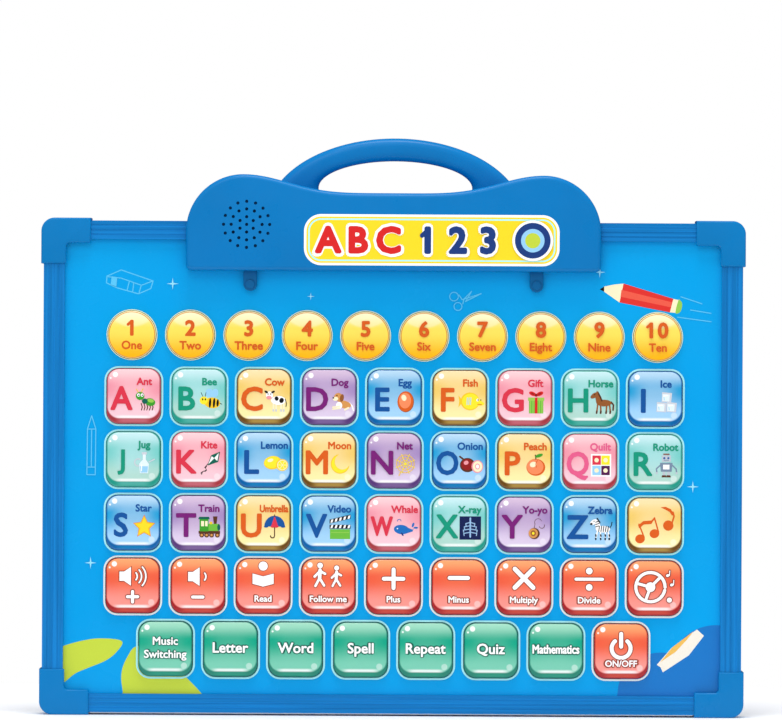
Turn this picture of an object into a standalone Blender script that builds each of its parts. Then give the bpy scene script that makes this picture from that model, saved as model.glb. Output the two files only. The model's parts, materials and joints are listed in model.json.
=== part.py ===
"""Kids toy tablet: a key board in a four-rail frame, with a speaker header and a carry handle.

Metres, +Z up, face towards -Y.  The lengths below are in millimetres and every point is
multiplied by MM when its mesh is made.  Depths (Y) are measured from the middle of the
board's thickness, and BOARD_Y then puts the whole toy's depth centre on Y = 0.
"""
import math

import bmesh
import bpy

MM = 0.001
ROUND_POINTS = 16
BOARD_Y = -3.75
CUT_PAST = 1.0
OVERLAP = 0.5
ROUND_SHARE = 0.3
SAME_POINT_M = 0.000002

# frame: four rails under four corner caps
CAP_HALF_X = 185.0
CAP_TOP_Z = 261.0
CAP_HALF_Y = 9.5
CAP_LEG_X = 26.0
CAP_LEG_Z = 24.0
CAP_LEG_WIDE = 13.2
CAP_CORNER_R = 7.0
CAP_INNER_R = 2.0
CAP_FRONT_WALL = 1.2
CAP_SIDE_WALL = 1.05
CAP_EDGE = 0.9
CAP_CUT_REACH = 8.0
RAIL_HALF_X = 183.65
RAIL_BOTTOM_Z = 1.4
RAIL_TOP_Z = 259.6
RAIL_HALF_Y = 8.0
SIDE_RAIL_WIDE = 11.0
CROSS_RAIL_WIDE = 9.7
RAIL_WALL = 2.3
RAIL_SETBACK = 6.0
RIB_COUNT = 3
RIB_DEEP = 0.15
RIB_WIDE = 0.6
GAP = 0.3

# sheets held in the rails' grooves
PANEL_FRONT_Y = -5.4
PANEL_BACK_Y = -3.4
BACK_BOARD_FRONT_Y = 3.4
BACK_BOARD_BACK_Y = 5.4
SHEET_HALF_X = RAIL_HALF_X - RAIL_WALL - GAP
SHEET_BOTTOM_Z = RAIL_BOTTOM_Z + RAIL_WALL + GAP
SHEET_TOP_Z = RAIL_TOP_Z - RAIL_WALL - GAP
SHEET_CORNER_R = 2.0

# circuit board, with a tongue through the top rail to the header
CIRCUIT_FRONT_Y = -0.6
CIRCUIT_BACK_Y = 1.0
CIRCUIT_HALF_X = 166.0
CIRCUIT_BOTTOM_Z = 14.0
CIRCUIT_TOP_Z = 243.0
TONGUE_HALF_X = 40.0
TONGUE_TOP_Z = 268.0

# keys
KEY_WIDE = 28.4
KEY_HIGH = 28.9
KEY_CORNER_R = 6.2
KEY_FACE_Y = -7.6
KEY_EDGE = 0.7
FLANGE_EXTRA = 0.8
FLANGE_FRONT_Y = PANEL_BACK_Y + GAP
FLANGE_BACK_Y = FLANGE_FRONT_Y + 1.0
KEYS_X = 0.9
KEY_PITCH_X = 34.26
LETTER_ROWS_Z = (167.4, 134.2, 100.9)
SYMBOL_ROW_Z = 67.9
FUNCTION_ROW_Z = 34.7
FUNCTION_PITCH_X = 34.2
DISC_ROW_Z = 199.7
DISC_PITCH_X = 30.7
DISC_COUNT = 10
DISC_R = 12.65
DISC_POINTS = 24
KEY_CORNER_STEPS = 3
STRIP_HALF_X = 152.6
STRIP_HALF_HIGH = 14.2
STRIP_CORNER_R = 6.0

# header shells
HEADER_HALF_X = 108.9
HEADER_BOTTOM_Z = 233.6
HEADER_CORNER_R = 3.0
LOBE_X = 78.9
LOBE_Z = 254.2
LOBE_R = 30.0
WAIST_Z = 274.6
WAIST_POWER = 2.5
HEADER_FRONT_Y = -14.5
HEADER_BACK_Y = 22.0
SHELL_WALL = 1.8
REAR_WALL = 2.6
PARTING = 0.15
HEADER_EDGE_STEPS = ((0.0, 2.6), (0.8, 1.0), (2.4, 0.0))
SADDLE_OVER_PANEL_Y = 5.7
SADDLE_OVER_RAIL_Y = 8.3
SADDLE_STEP_Z = RAIL_TOP_Z - CROSS_RAIL_WIDE - GAP
SADDLE_TOP_Z = RAIL_TOP_Z + GAP

# speaker and its grille: holes in rings of 1, 6, 12 and 16
SPEAKER_X = -77.1
SPEAKER_Z = 257.8
SPEAKER_POINTS = 24
SPEAKER_RINGS = ((9.0, -12.0), (12.6, -12.4), (14.0, -12.4), (14.0, -11.0), (12.4, -10.6),
                 (12.4, -9.6), (8.0, -9.2), (8.0, -8.6))
GRILLE_RINGS = ((0.0, 1), (4.0, 6), (8.1, 12), (12.1, 16))
GRILLE_HOLE_R = 0.85
GRILLE_POINTS = 8

# straps that hold the header down on the panel
STRAP_X = 75.2
STRAP_HALF_WIDE = 3.55
STRAP_BOTTOM_Z = 223.0
STRAP_FRONT_Y = -9.2
BOSS_R = 2.4
BOSS_FRONT_Y = -10.1

# carry handle: the band between two ellipses
HANDLE_X = 0.8
HANDLE_OUTER = (68.0, 42.0, 262.2)
HANDLE_INNER = (40.5, 14.2, 277.8)
HANDLE_MID_Y = 8.5
HANDLE_HALF_Y = 6.0
HANDLE_START_DEG = -12.0
HANDLE_STATIONS = 29
HANDLE_AROUND = 12
HANDLE_SQUARENESS = 0.62

# battery bay in the rear shell, and its door
BAY_HALF_X = 27.5
BAY_BOTTOM_Z = 237.2
BAY_TOP_Z = 270.8
BAY_WALL = 1.2
BAY_FLOOR_Y = 8.3
BAY_MOUTH_HALF_X = 24.5
BAY_MOUTH_BOTTOM_Z = 239.0
BAY_MOUTH_TOP_Z = 269.0
DOOR_HALF_X = 26.8
DOOR_BOTTOM_Z = 237.4
DOOR_TOP_Z = 270.6
DOOR_SEAT_Y = 20.6
DOOR_BACK_Y = 22.0
DOOR_CORNER_R = 2.5
DOOR_SCREW_Z = 267.2
DOOR_SCREW_R = 2.0
DOOR_SCREW_DEEP = 0.6
PULL_HALF_X = 7.0
PULL_UP = 2.0
PULL_HIGH = 4.4
PULL_CORNER_R = 2.0
WELL_X = 95.0
WELL_ROWS_Z = (243.0, 266.0)
WELL_R = 2.8
WELL_FLOOR_Y = 15.0
WELL_POST_Y = 12.0
WELL_POST_R = 4.6

LETTER_COLOURS = {
    "a": "pink", "b": "green", "c": "yellow", "d": "purple", "e": "blue", "f": "yellow",
    "g": "pink", "h": "green", "i": "blue", "j": "green", "k": "pink", "l": "blue",
    "m": "yellow", "n": "purple", "o": "blue", "p": "yellow", "q": "pink", "r": "green",
    "s": "blue", "t": "purple", "u": "yellow", "v": "blue", "w": "pink", "x": "green",
    "y": "purple", "z": "blue", "music": "yellow",
}
LETTER_ROWS = ("abcdefghi", "jklmnopqr", ("s", "t", "u", "v", "w", "x", "y", "z", "music"))
SYMBOL_KEYS = ("volume_up", "volume_down", "read", "follow_me", "plus", "minus", "times",
               "divide", "game")
FUNCTION_KEYS = ("music_switching", "letter", "word", "spell", "repeat", "quiz", "maths",
                 "power")
COLOURS = {
    "pink": (0.86, 0.30, 0.48), "green": (0.28, 0.66, 0.22), "yellow": (0.95, 0.72, 0.05),
    "purple": (0.42, 0.22, 0.62), "blue": (0.06, 0.42, 0.80), "red": (0.78, 0.03, 0.05),
    "function_green": (0.10, 0.50, 0.10), "amber": (0.98, 0.62, 0.04),
    "frame_blue": (0.0, 0.195, 0.58), "cap_blue": (0.0, 0.215, 0.60),
    "header_blue": (0.0, 0.210, 0.60), "panel_blue": (0.0, 0.35, 0.83),
    "back_blue": (0.0, 0.19, 0.55), "circuit_green": (0.02, 0.22, 0.10),
    "speaker_black": (0.02, 0.02, 0.022),
}


# ---------------------------------------------------------------- outlines in (x, z)

def arc(x, z, radius, start_deg, end_deg, steps):
    """Points on a circle from one angle to another, both ends included."""
    points = []
    for step in range(steps + 1):
        angle = math.radians(start_deg + (end_deg - start_deg) * step / steps)
        points.append((x + radius * math.cos(angle), z + radius * math.sin(angle)))
    return points


def circle(x, z, radius, count):
    """A closed ring of points."""
    return arc(x, z, radius, 0.0, 360.0, count)[:-1]


def rounded_box(left, right, bottom, top, radius, steps=3):
    """A rectangle with rounded corners, anticlockwise."""
    corners = ((right - radius, bottom + radius, -90.0), (right - radius, top - radius, 0.0),
               (left + radius, top - radius, 90.0), (left + radius, bottom + radius, 180.0))
    points = []
    for x, z, start in corners:
        points += arc(x, z, radius, start, start + 90.0, steps)
    return points


def rounded_key(x, z, grow):
    """A key's outline, made larger or smaller all round by grow."""
    half_wide = KEY_WIDE / 2 + grow
    half_high = KEY_HIGH / 2 + grow
    return rounded_box(x - half_wide, x + half_wide, z - half_high, z + half_high,
                       KEY_CORNER_R + grow, KEY_CORNER_STEPS)


def inset(points, distance):
    """Moves a closed anticlockwise outline inwards by distance."""
    count = len(points)
    moved = []
    for index in range(count):
        x0, z0 = points[index - 1]
        x1, z1 = points[index]
        x2, z2 = points[(index + 1) % count]
        before = (x1 - x0, z1 - z0)
        after = (x2 - x1, z2 - z1)
        length_before = math.hypot(*before)
        length_after = math.hypot(*after)
        nx = -before[1] / length_before - after[1] / length_after
        nz = before[0] / length_before + after[0] / length_after
        scale = 2.0 / (nx * nx + nz * nz)
        moved.append((x1 + nx * scale * distance, z1 + nz * scale * distance))
    return moved


def header_top(x):
    """Height of the header's top edge between its two lobes."""
    rise = 0.5 - 0.5 * math.cos(math.pi * abs(x) / LOBE_X)
    return WAIST_Z + (LOBE_Z + LOBE_R - WAIST_Z) * rise ** WAIST_POWER


def header_outline():
    """The header seen from the front: two lobes with a shallow waist between."""
    left = -HEADER_HALF_X + HEADER_CORNER_R
    low = HEADER_BOTTOM_Z + HEADER_CORNER_R
    points = arc(left, low, HEADER_CORNER_R, 180.0, 270.0, 3)
    points += arc(-left, low, HEADER_CORNER_R, 270.0, 360.0, 3)
    points += arc(LOBE_X, LOBE_Z, LOBE_R, 0.0, 90.0, 9)
    waist_steps = 20
    for step in range(1, waist_steps):
        x = LOBE_X - 2.0 * LOBE_X * step / waist_steps
        points.append((x, header_top(x)))
    points += arc(-LOBE_X, LOBE_Z, LOBE_R, 90.0, 180.0, 9)
    return points


def corner_outline(side, upper):
    """The L of one corner cap, as if at the lower right, then mirrored into place."""
    right = CAP_HALF_X
    radius = CAP_CORNER_R
    points = [(right - CAP_LEG_X, 0.0)]
    points += arc(right - radius, radius, radius, -90.0, 0.0, 6)
    points += [(right, CAP_LEG_Z), (right - CAP_LEG_WIDE, CAP_LEG_Z)]
    points += arc(right - CAP_LEG_WIDE - CAP_INNER_R, CAP_LEG_WIDE + CAP_INNER_R, CAP_INNER_R,
                  0.0, -90.0, 3)
    points.append((right - CAP_LEG_X, CAP_LEG_WIDE))
    return place_corner(points, side, upper)


def place_corner(points, side, upper):
    """Mirrors a lower-right outline to its own corner, kept anticlockwise."""
    placed = [(side * x, CAP_TOP_Z - z if upper else z) for x, z in points]
    if side * (-1 if upper else 1) < 0:
        placed.reverse()
    return placed


# ---------------------------------------------------------------- meshes

def clear_scene():
    """Leaves an empty scene."""
    for old in list(bpy.data.objects):
        bpy.data.objects.remove(old, do_unlink=True)


def solid_from_rings(name, rings):
    """One closed solid from rings of equal length; each ring is a list of (x, y, z) in mm."""
    mesh = bpy.data.meshes.new(name)
    work = bmesh.new()
    loops = []
    for ring in rings:
        loops.append([work.verts.new((x * MM, (y + BOARD_Y) * MM, z * MM)) for x, y, z in ring])
    count = len(loops[0])
    for lower, upper in zip(loops, loops[1:]):
        for index in range(count):
            following = (index + 1) % count
            work.faces.new((lower[index], lower[following], upper[following], upper[index]))
    work.faces.new(loops[0])
    work.faces.new(loops[-1])
    bmesh.ops.recalc_face_normals(work, faces=work.faces)
    work.to_mesh(mesh)
    work.free()
    piece = bpy.data.objects.new(name, mesh)
    bpy.context.collection.objects.link(piece)
    return piece


def layered(name, layers):
    """A solid from outlines in (x, z), each at its own depth y."""
    return solid_from_rings(name, [[(x, y, z) for x, z in outline] for outline, y in layers])


def slab(name, outline, y_front, y_back):
    """An outline in (x, z) carried straight back."""
    return layered(name, [(outline, y_front), (outline, y_back)])


def block(name, x_range, y_range, z_range):
    """A plain box."""
    outline = [(x_range[0], z_range[0]), (x_range[1], z_range[0]),
               (x_range[1], z_range[1]), (x_range[0], z_range[1])]
    return slab(name, outline, y_range[0], y_range[1])


def bar_across(name, section, x_start, x_end):
    """A section in (y, z) carried along X."""
    return solid_from_rings(name, [[(x, y, z) for y, z in section] for x in (x_start, x_end)])


def bar_upright(name, section, z_start, z_end):
    """A section in (x, y) carried along Z."""
    return solid_from_rings(name, [[(x, y, z) for x, y in section] for z in (z_start, z_end)])


def combine(piece, other, operation):
    """Joins or cuts one solid with another and removes the other."""
    other.hide_render = True
    other.display_type = "WIRE"
    modifier = piece.modifiers.new("combine", "BOOLEAN")
    modifier.operation = operation
    modifier.solver = "EXACT"
    modifier.object = other
    bpy.context.view_layer.objects.active = piece
    bpy.ops.object.modifier_apply(modifier=modifier.name)
    bpy.data.objects.remove(other, do_unlink=True)


def merge_solids(name, pieces):
    """Puts separate, non-touching solids in one mesh, to be used as a single cutter."""
    work = bmesh.new()
    for piece in pieces:
        work.from_mesh(piece.data)
        bpy.data.objects.remove(piece, do_unlink=True)
    mesh = bpy.data.meshes.new(name)
    work.to_mesh(mesh)
    work.free()
    merged = bpy.data.objects.new(name, mesh)
    bpy.context.collection.objects.link(merged)
    return merged


def finish_piece(piece, colour, roughness, smooth_deg=0.0):
    """Gives a piece its own material, smooths its round parts and drops stray vertices."""
    material = bpy.data.materials.new(piece.name + "_material")
    material.use_nodes = True
    shader = material.node_tree.nodes["Principled BSDF"]
    shader.inputs["Base Color"].default_value = (*COLOURS[colour], 1.0)
    shader.inputs["Roughness"].default_value = roughness
    material.diffuse_color = (*COLOURS[colour], 1.0)
    piece.data.materials.clear()
    piece.data.materials.append(material)
    work = bmesh.new()
    work.from_mesh(piece.data)
    bmesh.ops.remove_doubles(work, verts=work.verts, dist=SAME_POINT_M)
    work.to_mesh(piece.data)
    work.free()
    if smooth_deg:
        bpy.ops.object.select_all(action="DESELECT")
        piece.select_set(True)
        bpy.context.view_layer.objects.active = piece
        bpy.ops.object.shade_smooth_by_angle(angle=math.radians(smooth_deg))


def put_origin(piece, x, y, z):
    """Moves a piece's origin, in mm, and leaves its mesh where it is."""
    shift = (x * MM, (y + BOARD_Y) * MM, z * MM)
    for vertex in piece.data.vertices:
        vertex.co.x -= shift[0]
        vertex.co.y -= shift[1]
        vertex.co.z -= shift[2]
    piece.location = shift


# ---------------------------------------------------------------- frame

def ribbed_channel(web, lip_end):
    """A rail's section as (across, y): a channel open inwards, with grooves on both faces.

    across runs from the rail's outer edge (web) to its inner edge (lip_end).
    """
    inwards = 1.0 if lip_end > web else -1.0
    wide = abs(lip_end - web)
    groove_step = wide / (RIB_COUNT + 1)
    front = [(web, -RAIL_HALF_Y)]
    for rib in range(1, RIB_COUNT + 1):
        middle = web + inwards * groove_step * rib
        near = middle - inwards * RIB_WIDE / 2
        far = middle + inwards * RIB_WIDE / 2
        front += [(near, -RAIL_HALF_Y), (near + inwards * RIB_DEEP / 2, -RAIL_HALF_Y + RIB_DEEP),
                  (far - inwards * RIB_DEEP / 2, -RAIL_HALF_Y + RIB_DEEP), (far, -RAIL_HALF_Y)]
    front += [(lip_end, -RAIL_HALF_Y), (lip_end, -RAIL_HALF_Y + RAIL_WALL),
              (web + inwards * RAIL_WALL, -RAIL_HALF_Y + RAIL_WALL)]
    return front + [(across, -y) for across, y in reversed(front)]


def make_rails():
    """Side rails run the full height; the top and bottom rails butt between them."""
    for name, side in (("left_rail", -1), ("right_rail", 1)):
        section = ribbed_channel(side * RAIL_HALF_X, side * (RAIL_HALF_X - SIDE_RAIL_WIDE))
        rail = bar_upright(name, section, RAIL_BOTTOM_Z + RAIL_SETBACK, RAIL_TOP_Z - RAIL_SETBACK)
        finish_piece(rail, "frame_blue", 0.38)
    half_length = RAIL_HALF_X - SIDE_RAIL_WIDE - GAP
    for name, web, lip in (("bottom_rail", RAIL_BOTTOM_Z, RAIL_BOTTOM_Z + CROSS_RAIL_WIDE),
                           ("top_rail", RAIL_TOP_Z, RAIL_TOP_Z - CROSS_RAIL_WIDE)):
        section = [(y, z) for z, y in ribbed_channel(web, lip)]
        rail = bar_across(name, section, -half_length, half_length)
        if name == "top_rail":
            slot = block("tongue_slot", (-TONGUE_HALF_X - GAP, TONGUE_HALF_X + GAP),
                         (CIRCUIT_FRONT_Y - GAP, CIRCUIT_BACK_Y + GAP),
                         (RAIL_TOP_Z - RAIL_WALL - CUT_PAST, RAIL_TOP_Z + CUT_PAST))
            combine(rail, slot, "DIFFERENCE")
        finish_piece(rail, "frame_blue", 0.38)


def make_corner_cap(name, side, upper):
    """A cap over two rail ends: an L-shaped box, open on its inner side and at its leg ends."""
    outline = corner_outline(side, upper)
    cap = layered(name, [(inset(outline, CAP_EDGE), -CAP_HALF_Y),
                         (inset(outline, CAP_EDGE * ROUND_SHARE), -CAP_HALF_Y + CAP_EDGE * ROUND_SHARE),
                         (outline, -CAP_HALF_Y + CAP_EDGE), (outline, CAP_HALF_Y - CAP_EDGE),
                         (inset(outline, CAP_EDGE * ROUND_SHARE), CAP_HALF_Y - CAP_EDGE * ROUND_SHARE),
                         (inset(outline, CAP_EDGE), CAP_HALF_Y)])
    right = CAP_HALF_X - CAP_SIDE_WALL
    radius = CAP_CORNER_R - CAP_SIDE_WALL
    inner_end = CAP_HALF_X - CAP_LEG_X - CAP_CUT_REACH
    upper_end = CAP_LEG_Z + CAP_CUT_REACH
    hollow = [(inner_end, CAP_SIDE_WALL)]
    hollow += arc(right - radius, CAP_SIDE_WALL + radius, radius, -90.0, 0.0, 6)
    hollow += [(right, upper_end), (inner_end, upper_end)]
    inner_y = CAP_HALF_Y - CAP_FRONT_WALL
    cutter = slab("cap_hollow", place_corner(hollow, side, upper), -inner_y, inner_y)
    combine(cap, cutter, "DIFFERENCE")
    finish_piece(cap, "cap_blue", 0.32, 40.0)


# ---------------------------------------------------------------- keys

def key_places():
    """Name, x, z and colour of every square key."""
    places = []
    for names, z in zip(LETTER_ROWS, LETTER_ROWS_Z):
        for column, name in enumerate(names):
            places.append((name, KEYS_X + (column - 4) * KEY_PITCH_X, z, LETTER_COLOURS[name]))
    for column, name in enumerate(SYMBOL_KEYS):
        places.append((name, KEYS_X + (column - 4) * KEY_PITCH_X, SYMBOL_ROW_Z, "red"))
    for column, name in enumerate(FUNCTION_KEYS):
        colour = "red" if name == "power" else "function_green"
        places.append((name, KEYS_X + (column - 3.5) * FUNCTION_PITCH_X, FUNCTION_ROW_Z, colour))
    return places


def disc_places():
    """The x of each number disc."""
    first = -(DISC_COUNT - 1) / 2
    return [KEYS_X + (first + index) * DISC_PITCH_X for index in range(DISC_COUNT)]


def make_square_key(name, x, z, colour):
    """A key cap with a softened edge and a flange behind the panel that keeps it in."""
    body = rounded_key(x, z, 0.0)
    flange = rounded_key(x, z, FLANGE_EXTRA)
    edge_mid = KEY_EDGE * ROUND_SHARE
    key = layered("key_" + name, [(flange, FLANGE_BACK_Y), (flange, FLANGE_FRONT_Y),
                                  (body, FLANGE_FRONT_Y), (body, KEY_FACE_Y + KEY_EDGE),
                                  (rounded_key(x, z, -edge_mid), KEY_FACE_Y + edge_mid),
                                  (rounded_key(x, z, -KEY_EDGE), KEY_FACE_Y)])
    put_origin(key, x, FLANGE_BACK_Y, z)
    finish_piece(key, colour, 0.30, 35.0)


def make_number_strip():
    """Ten round keys that share one bar behind the panel."""
    outline = rounded_box(KEYS_X - STRIP_HALF_X, KEYS_X + STRIP_HALF_X,
                          DISC_ROW_Z - STRIP_HALF_HIGH, DISC_ROW_Z + STRIP_HALF_HIGH, STRIP_CORNER_R)
    strip = slab("number_key_strip", outline, FLANGE_FRONT_Y, FLANGE_BACK_Y)
    discs = []
    for x in disc_places():
        rings = [(DISC_R, FLANGE_FRONT_Y + OVERLAP), (DISC_R, KEY_FACE_Y + KEY_EDGE),
                 (DISC_R - KEY_EDGE * ROUND_SHARE, KEY_FACE_Y + KEY_EDGE * ROUND_SHARE),
                 (DISC_R - KEY_EDGE, KEY_FACE_Y)]
        discs.append(layered("disc", [(circle(x, DISC_ROW_Z, radius, DISC_POINTS), y)
                                      for radius, y in rings]))
    combine(strip, merge_solids("discs", discs), "UNION")
    put_origin(strip, KEYS_X, FLANGE_BACK_Y, DISC_ROW_Z)
    finish_piece(strip, "amber", 0.30, 35.0)


# ---------------------------------------------------------------- board

def make_board():
    """The front panel with its key holes, the back board and the circuit board."""
    sheet = rounded_box(-SHEET_HALF_X, SHEET_HALF_X, SHEET_BOTTOM_Z, SHEET_TOP_Z,
                        SHEET_CORNER_R)
    panel = slab("key_panel", sheet, PANEL_FRONT_Y, PANEL_BACK_Y)
    holes = [rounded_key(x, z, GAP) for _, x, z, _ in key_places()]
    holes += [circle(x, DISC_ROW_Z, DISC_R + GAP, DISC_POINTS) for x in disc_places()]
    cutters = [slab("hole", hole, PANEL_FRONT_Y - CUT_PAST, PANEL_BACK_Y + CUT_PAST)
               for hole in holes]
    combine(panel, merge_solids("key_holes", cutters), "DIFFERENCE")
    finish_piece(panel, "panel_blue", 0.30)

    back = slab("back_board", sheet, BACK_BOARD_FRONT_Y, BACK_BOARD_BACK_Y)
    finish_piece(back, "back_blue", 0.50)

    board = [(-CIRCUIT_HALF_X, CIRCUIT_BOTTOM_Z), (CIRCUIT_HALF_X, CIRCUIT_BOTTOM_Z),
             (CIRCUIT_HALF_X, CIRCUIT_TOP_Z), (TONGUE_HALF_X, CIRCUIT_TOP_Z),
             (TONGUE_HALF_X, TONGUE_TOP_Z), (-TONGUE_HALF_X, TONGUE_TOP_Z),
             (-TONGUE_HALF_X, CIRCUIT_TOP_Z), (-CIRCUIT_HALF_X, CIRCUIT_TOP_Z)]
    circuit = slab("circuit_board", board, CIRCUIT_FRONT_Y, CIRCUIT_BACK_Y)
    finish_piece(circuit, "circuit_green", 0.55)


# ---------------------------------------------------------------- header

def cut_saddle(shell):
    """Clears a shell from the panel, the back board and the top rail that it sits astride."""
    low = STRAP_BOTTOM_Z - CUT_PAST
    section = [(-SADDLE_OVER_PANEL_Y, low), (SADDLE_OVER_PANEL_Y, low),
               (SADDLE_OVER_PANEL_Y, SADDLE_STEP_Z), (SADDLE_OVER_RAIL_Y, SADDLE_STEP_Z),
               (SADDLE_OVER_RAIL_Y, SADDLE_TOP_Z), (-SADDLE_OVER_RAIL_Y, SADDLE_TOP_Z),
               (-SADDLE_OVER_RAIL_Y, SADDLE_STEP_Z), (-SADDLE_OVER_PANEL_Y, SADDLE_STEP_Z)]
    saddle = bar_across("saddle", section, -HEADER_HALF_X - CUT_PAST, HEADER_HALF_X + CUT_PAST)
    combine(shell, saddle, "DIFFERENCE")


def half_shell(name, face_y, facing):
    """The outside of one header half; facing is -1 for the front half and 1 for the rear."""
    outline = header_outline()
    layers = [(inset(outline, amount), face_y - facing * depth)
              for depth, amount in HEADER_EDGE_STEPS]
    layers.append((outline, facing * PARTING))
    return layered(name, layers)


def make_front_shell():
    """Front half of the header: speaker grille, and two straps down on to the panel."""
    shell = half_shell("header_front_shell", HEADER_FRONT_Y, -1)
    hollow = slab("hollow", inset(header_outline(), SHELL_WALL), HEADER_FRONT_Y + SHELL_WALL,
                  CUT_PAST)
    combine(shell, hollow, "DIFFERENCE")
    for x in (-STRAP_X, STRAP_X):
        foot_z = STRAP_BOTTOM_Z + STRAP_HALF_WIDE
        strap = arc(x, foot_z, STRAP_HALF_WIDE, 180.0, 360.0, 8)
        strap += [(x + STRAP_HALF_WIDE, HEADER_BOTTOM_Z + OVERLAP),
                  (x - STRAP_HALF_WIDE, HEADER_BOTTOM_Z + OVERLAP)]
        combine(shell, slab("strap", strap, STRAP_FRONT_Y, -SADDLE_OVER_PANEL_Y), "UNION")
        boss = slab("boss", circle(x, foot_z, BOSS_R, ROUND_POINTS), BOSS_FRONT_Y,
                    STRAP_FRONT_Y + OVERLAP)
        combine(shell, boss, "UNION")
    holes = []
    for radius, count in GRILLE_RINGS:
        for index in range(count):
            angle = 2.0 * math.pi * index / count
            x = SPEAKER_X + radius * math.sin(angle)
            z = SPEAKER_Z + radius * math.cos(angle)
            holes.append(slab("hole", circle(x, z, GRILLE_HOLE_R, GRILLE_POINTS),
                              HEADER_FRONT_Y - CUT_PAST, HEADER_FRONT_Y + SHELL_WALL + CUT_PAST))
    combine(shell, merge_solids("grille", holes), "DIFFERENCE")
    cut_saddle(shell)
    finish_piece(shell, "header_blue", 0.30, 35.0)


def handle_ring(angle):
    """One section of the handle's band, from the inner ellipse out to the outer one."""
    inner = (HANDLE_INNER[0] * math.cos(angle), HANDLE_INNER[2] + HANDLE_INNER[1] * math.sin(angle))
    outer = (HANDLE_OUTER[0] * math.cos(angle), HANDLE_OUTER[2] + HANDLE_OUTER[1] * math.sin(angle))
    ring = []
    for step in range(HANDLE_AROUND):
        around = 2.0 * math.pi * (step + 0.5) / HANDLE_AROUND
        reach = abs(math.cos(around)) ** HANDLE_SQUARENESS * math.copysign(1, math.cos(around))
        depth = abs(math.sin(around)) ** HANDLE_SQUARENESS * math.copysign(1, math.sin(around))
        share = 0.5 + 0.5 * reach
        ring.append((HANDLE_X + inner[0] + (outer[0] - inner[0]) * share,
                     HANDLE_MID_Y + HANDLE_HALF_Y * depth,
                     inner[1] + (outer[1] - inner[1]) * share))
    return ring


def make_handle():
    """The carry handle's arch; its feet run down into the rear shell."""
    start = math.radians(HANDLE_START_DEG)
    sweep = math.pi - 2.0 * start
    rings = [handle_ring(start + sweep * step / (HANDLE_STATIONS - 1))
             for step in range(HANDLE_STATIONS)]
    return solid_from_rings("handle", rings)


def make_rear_shell():
    """Rear half of the header, with the carry handle, battery bay and screw posts."""
    shell = half_shell("header_rear_shell", HEADER_BACK_Y, 1)
    combine(shell, make_handle(), "UNION")
    hollow = slab("hollow", inset(header_outline(), SHELL_WALL), -CUT_PAST,
                  HEADER_BACK_Y - REAR_WALL)
    combine(shell, hollow, "DIFFERENCE")
    bay = block("bay", (-BAY_HALF_X - BAY_WALL, BAY_HALF_X + BAY_WALL),
                (BAY_FLOOR_Y, HEADER_BACK_Y - REAR_WALL + OVERLAP),
                (BAY_BOTTOM_Z - BAY_WALL, BAY_TOP_Z + BAY_WALL))
    combine(shell, bay, "UNION")
    room = block("room", (-BAY_HALF_X, BAY_HALF_X),
                 (BAY_FLOOR_Y + BAY_WALL, HEADER_BACK_Y - REAR_WALL),
                 (BAY_BOTTOM_Z, BAY_TOP_Z))
    combine(shell, room, "DIFFERENCE")
    mouth = block("mouth", (-BAY_MOUTH_HALF_X, BAY_MOUTH_HALF_X),
                  (HEADER_BACK_Y - REAR_WALL - CUT_PAST, HEADER_BACK_Y + CUT_PAST),
                  (BAY_MOUTH_BOTTOM_Z, BAY_MOUTH_TOP_Z))
    combine(shell, mouth, "DIFFERENCE")
    seat = slab("seat", rounded_box(-DOOR_HALF_X - GAP, DOOR_HALF_X + GAP, DOOR_BOTTOM_Z - GAP,
                                    DOOR_TOP_Z + GAP, DOOR_CORNER_R + GAP),
                DOOR_SEAT_Y, HEADER_BACK_Y + CUT_PAST)
    combine(shell, seat, "DIFFERENCE")
    posts = []
    wells = []
    for x in (-WELL_X, WELL_X):
        for z in WELL_ROWS_Z:
            posts.append(slab("post", circle(x, z, WELL_POST_R, ROUND_POINTS), WELL_POST_Y,
                              HEADER_BACK_Y - REAR_WALL + OVERLAP))
            wells.append(slab("well", circle(x, z, WELL_R, ROUND_POINTS), WELL_FLOOR_Y,
                              HEADER_BACK_Y + CUT_PAST))
    combine(shell, merge_solids("posts", posts), "UNION")
    combine(shell, merge_solids("wells", wells), "DIFFERENCE")
    cut_saddle(shell)
    finish_piece(shell, "header_blue", 0.30, 35.0)


def make_battery_door():
    """A lift-off door with a finger pull at the bottom and a recess for its screw."""
    outline = rounded_box(-DOOR_HALF_X, DOOR_HALF_X, DOOR_BOTTOM_Z, DOOR_TOP_Z, DOOR_CORNER_R)
    door = slab("battery_door", outline, DOOR_SEAT_Y + GAP / 2, DOOR_BACK_Y)
    pull = rounded_box(-PULL_HALF_X, PULL_HALF_X, DOOR_BOTTOM_Z + PULL_UP,
                       DOOR_BOTTOM_Z + PULL_UP + PULL_HIGH, PULL_CORNER_R)
    combine(door, slab("pull", pull, DOOR_BACK_Y - DOOR_SCREW_DEEP,
                       DOOR_BACK_Y + CUT_PAST), "DIFFERENCE")
    recess = slab("recess", circle(0.0, DOOR_SCREW_Z, DOOR_SCREW_R, ROUND_POINTS),
                  DOOR_BACK_Y - DOOR_SCREW_DEEP, DOOR_BACK_Y + CUT_PAST)
    combine(door, recess, "DIFFERENCE")
    put_origin(door, 0.0, DOOR_SEAT_Y, (DOOR_BOTTOM_Z + DOOR_TOP_Z) / 2)
    finish_piece(door, "header_blue", 0.34, 30.0)


def make_speaker():
    """A flat round speaker behind the grille."""
    layers = [(circle(SPEAKER_X, SPEAKER_Z, radius, SPEAKER_POINTS), y) for radius, y in SPEAKER_RINGS]
    finish_piece(layered("speaker", layers), "speaker_black", 0.60, 30.0)


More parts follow.
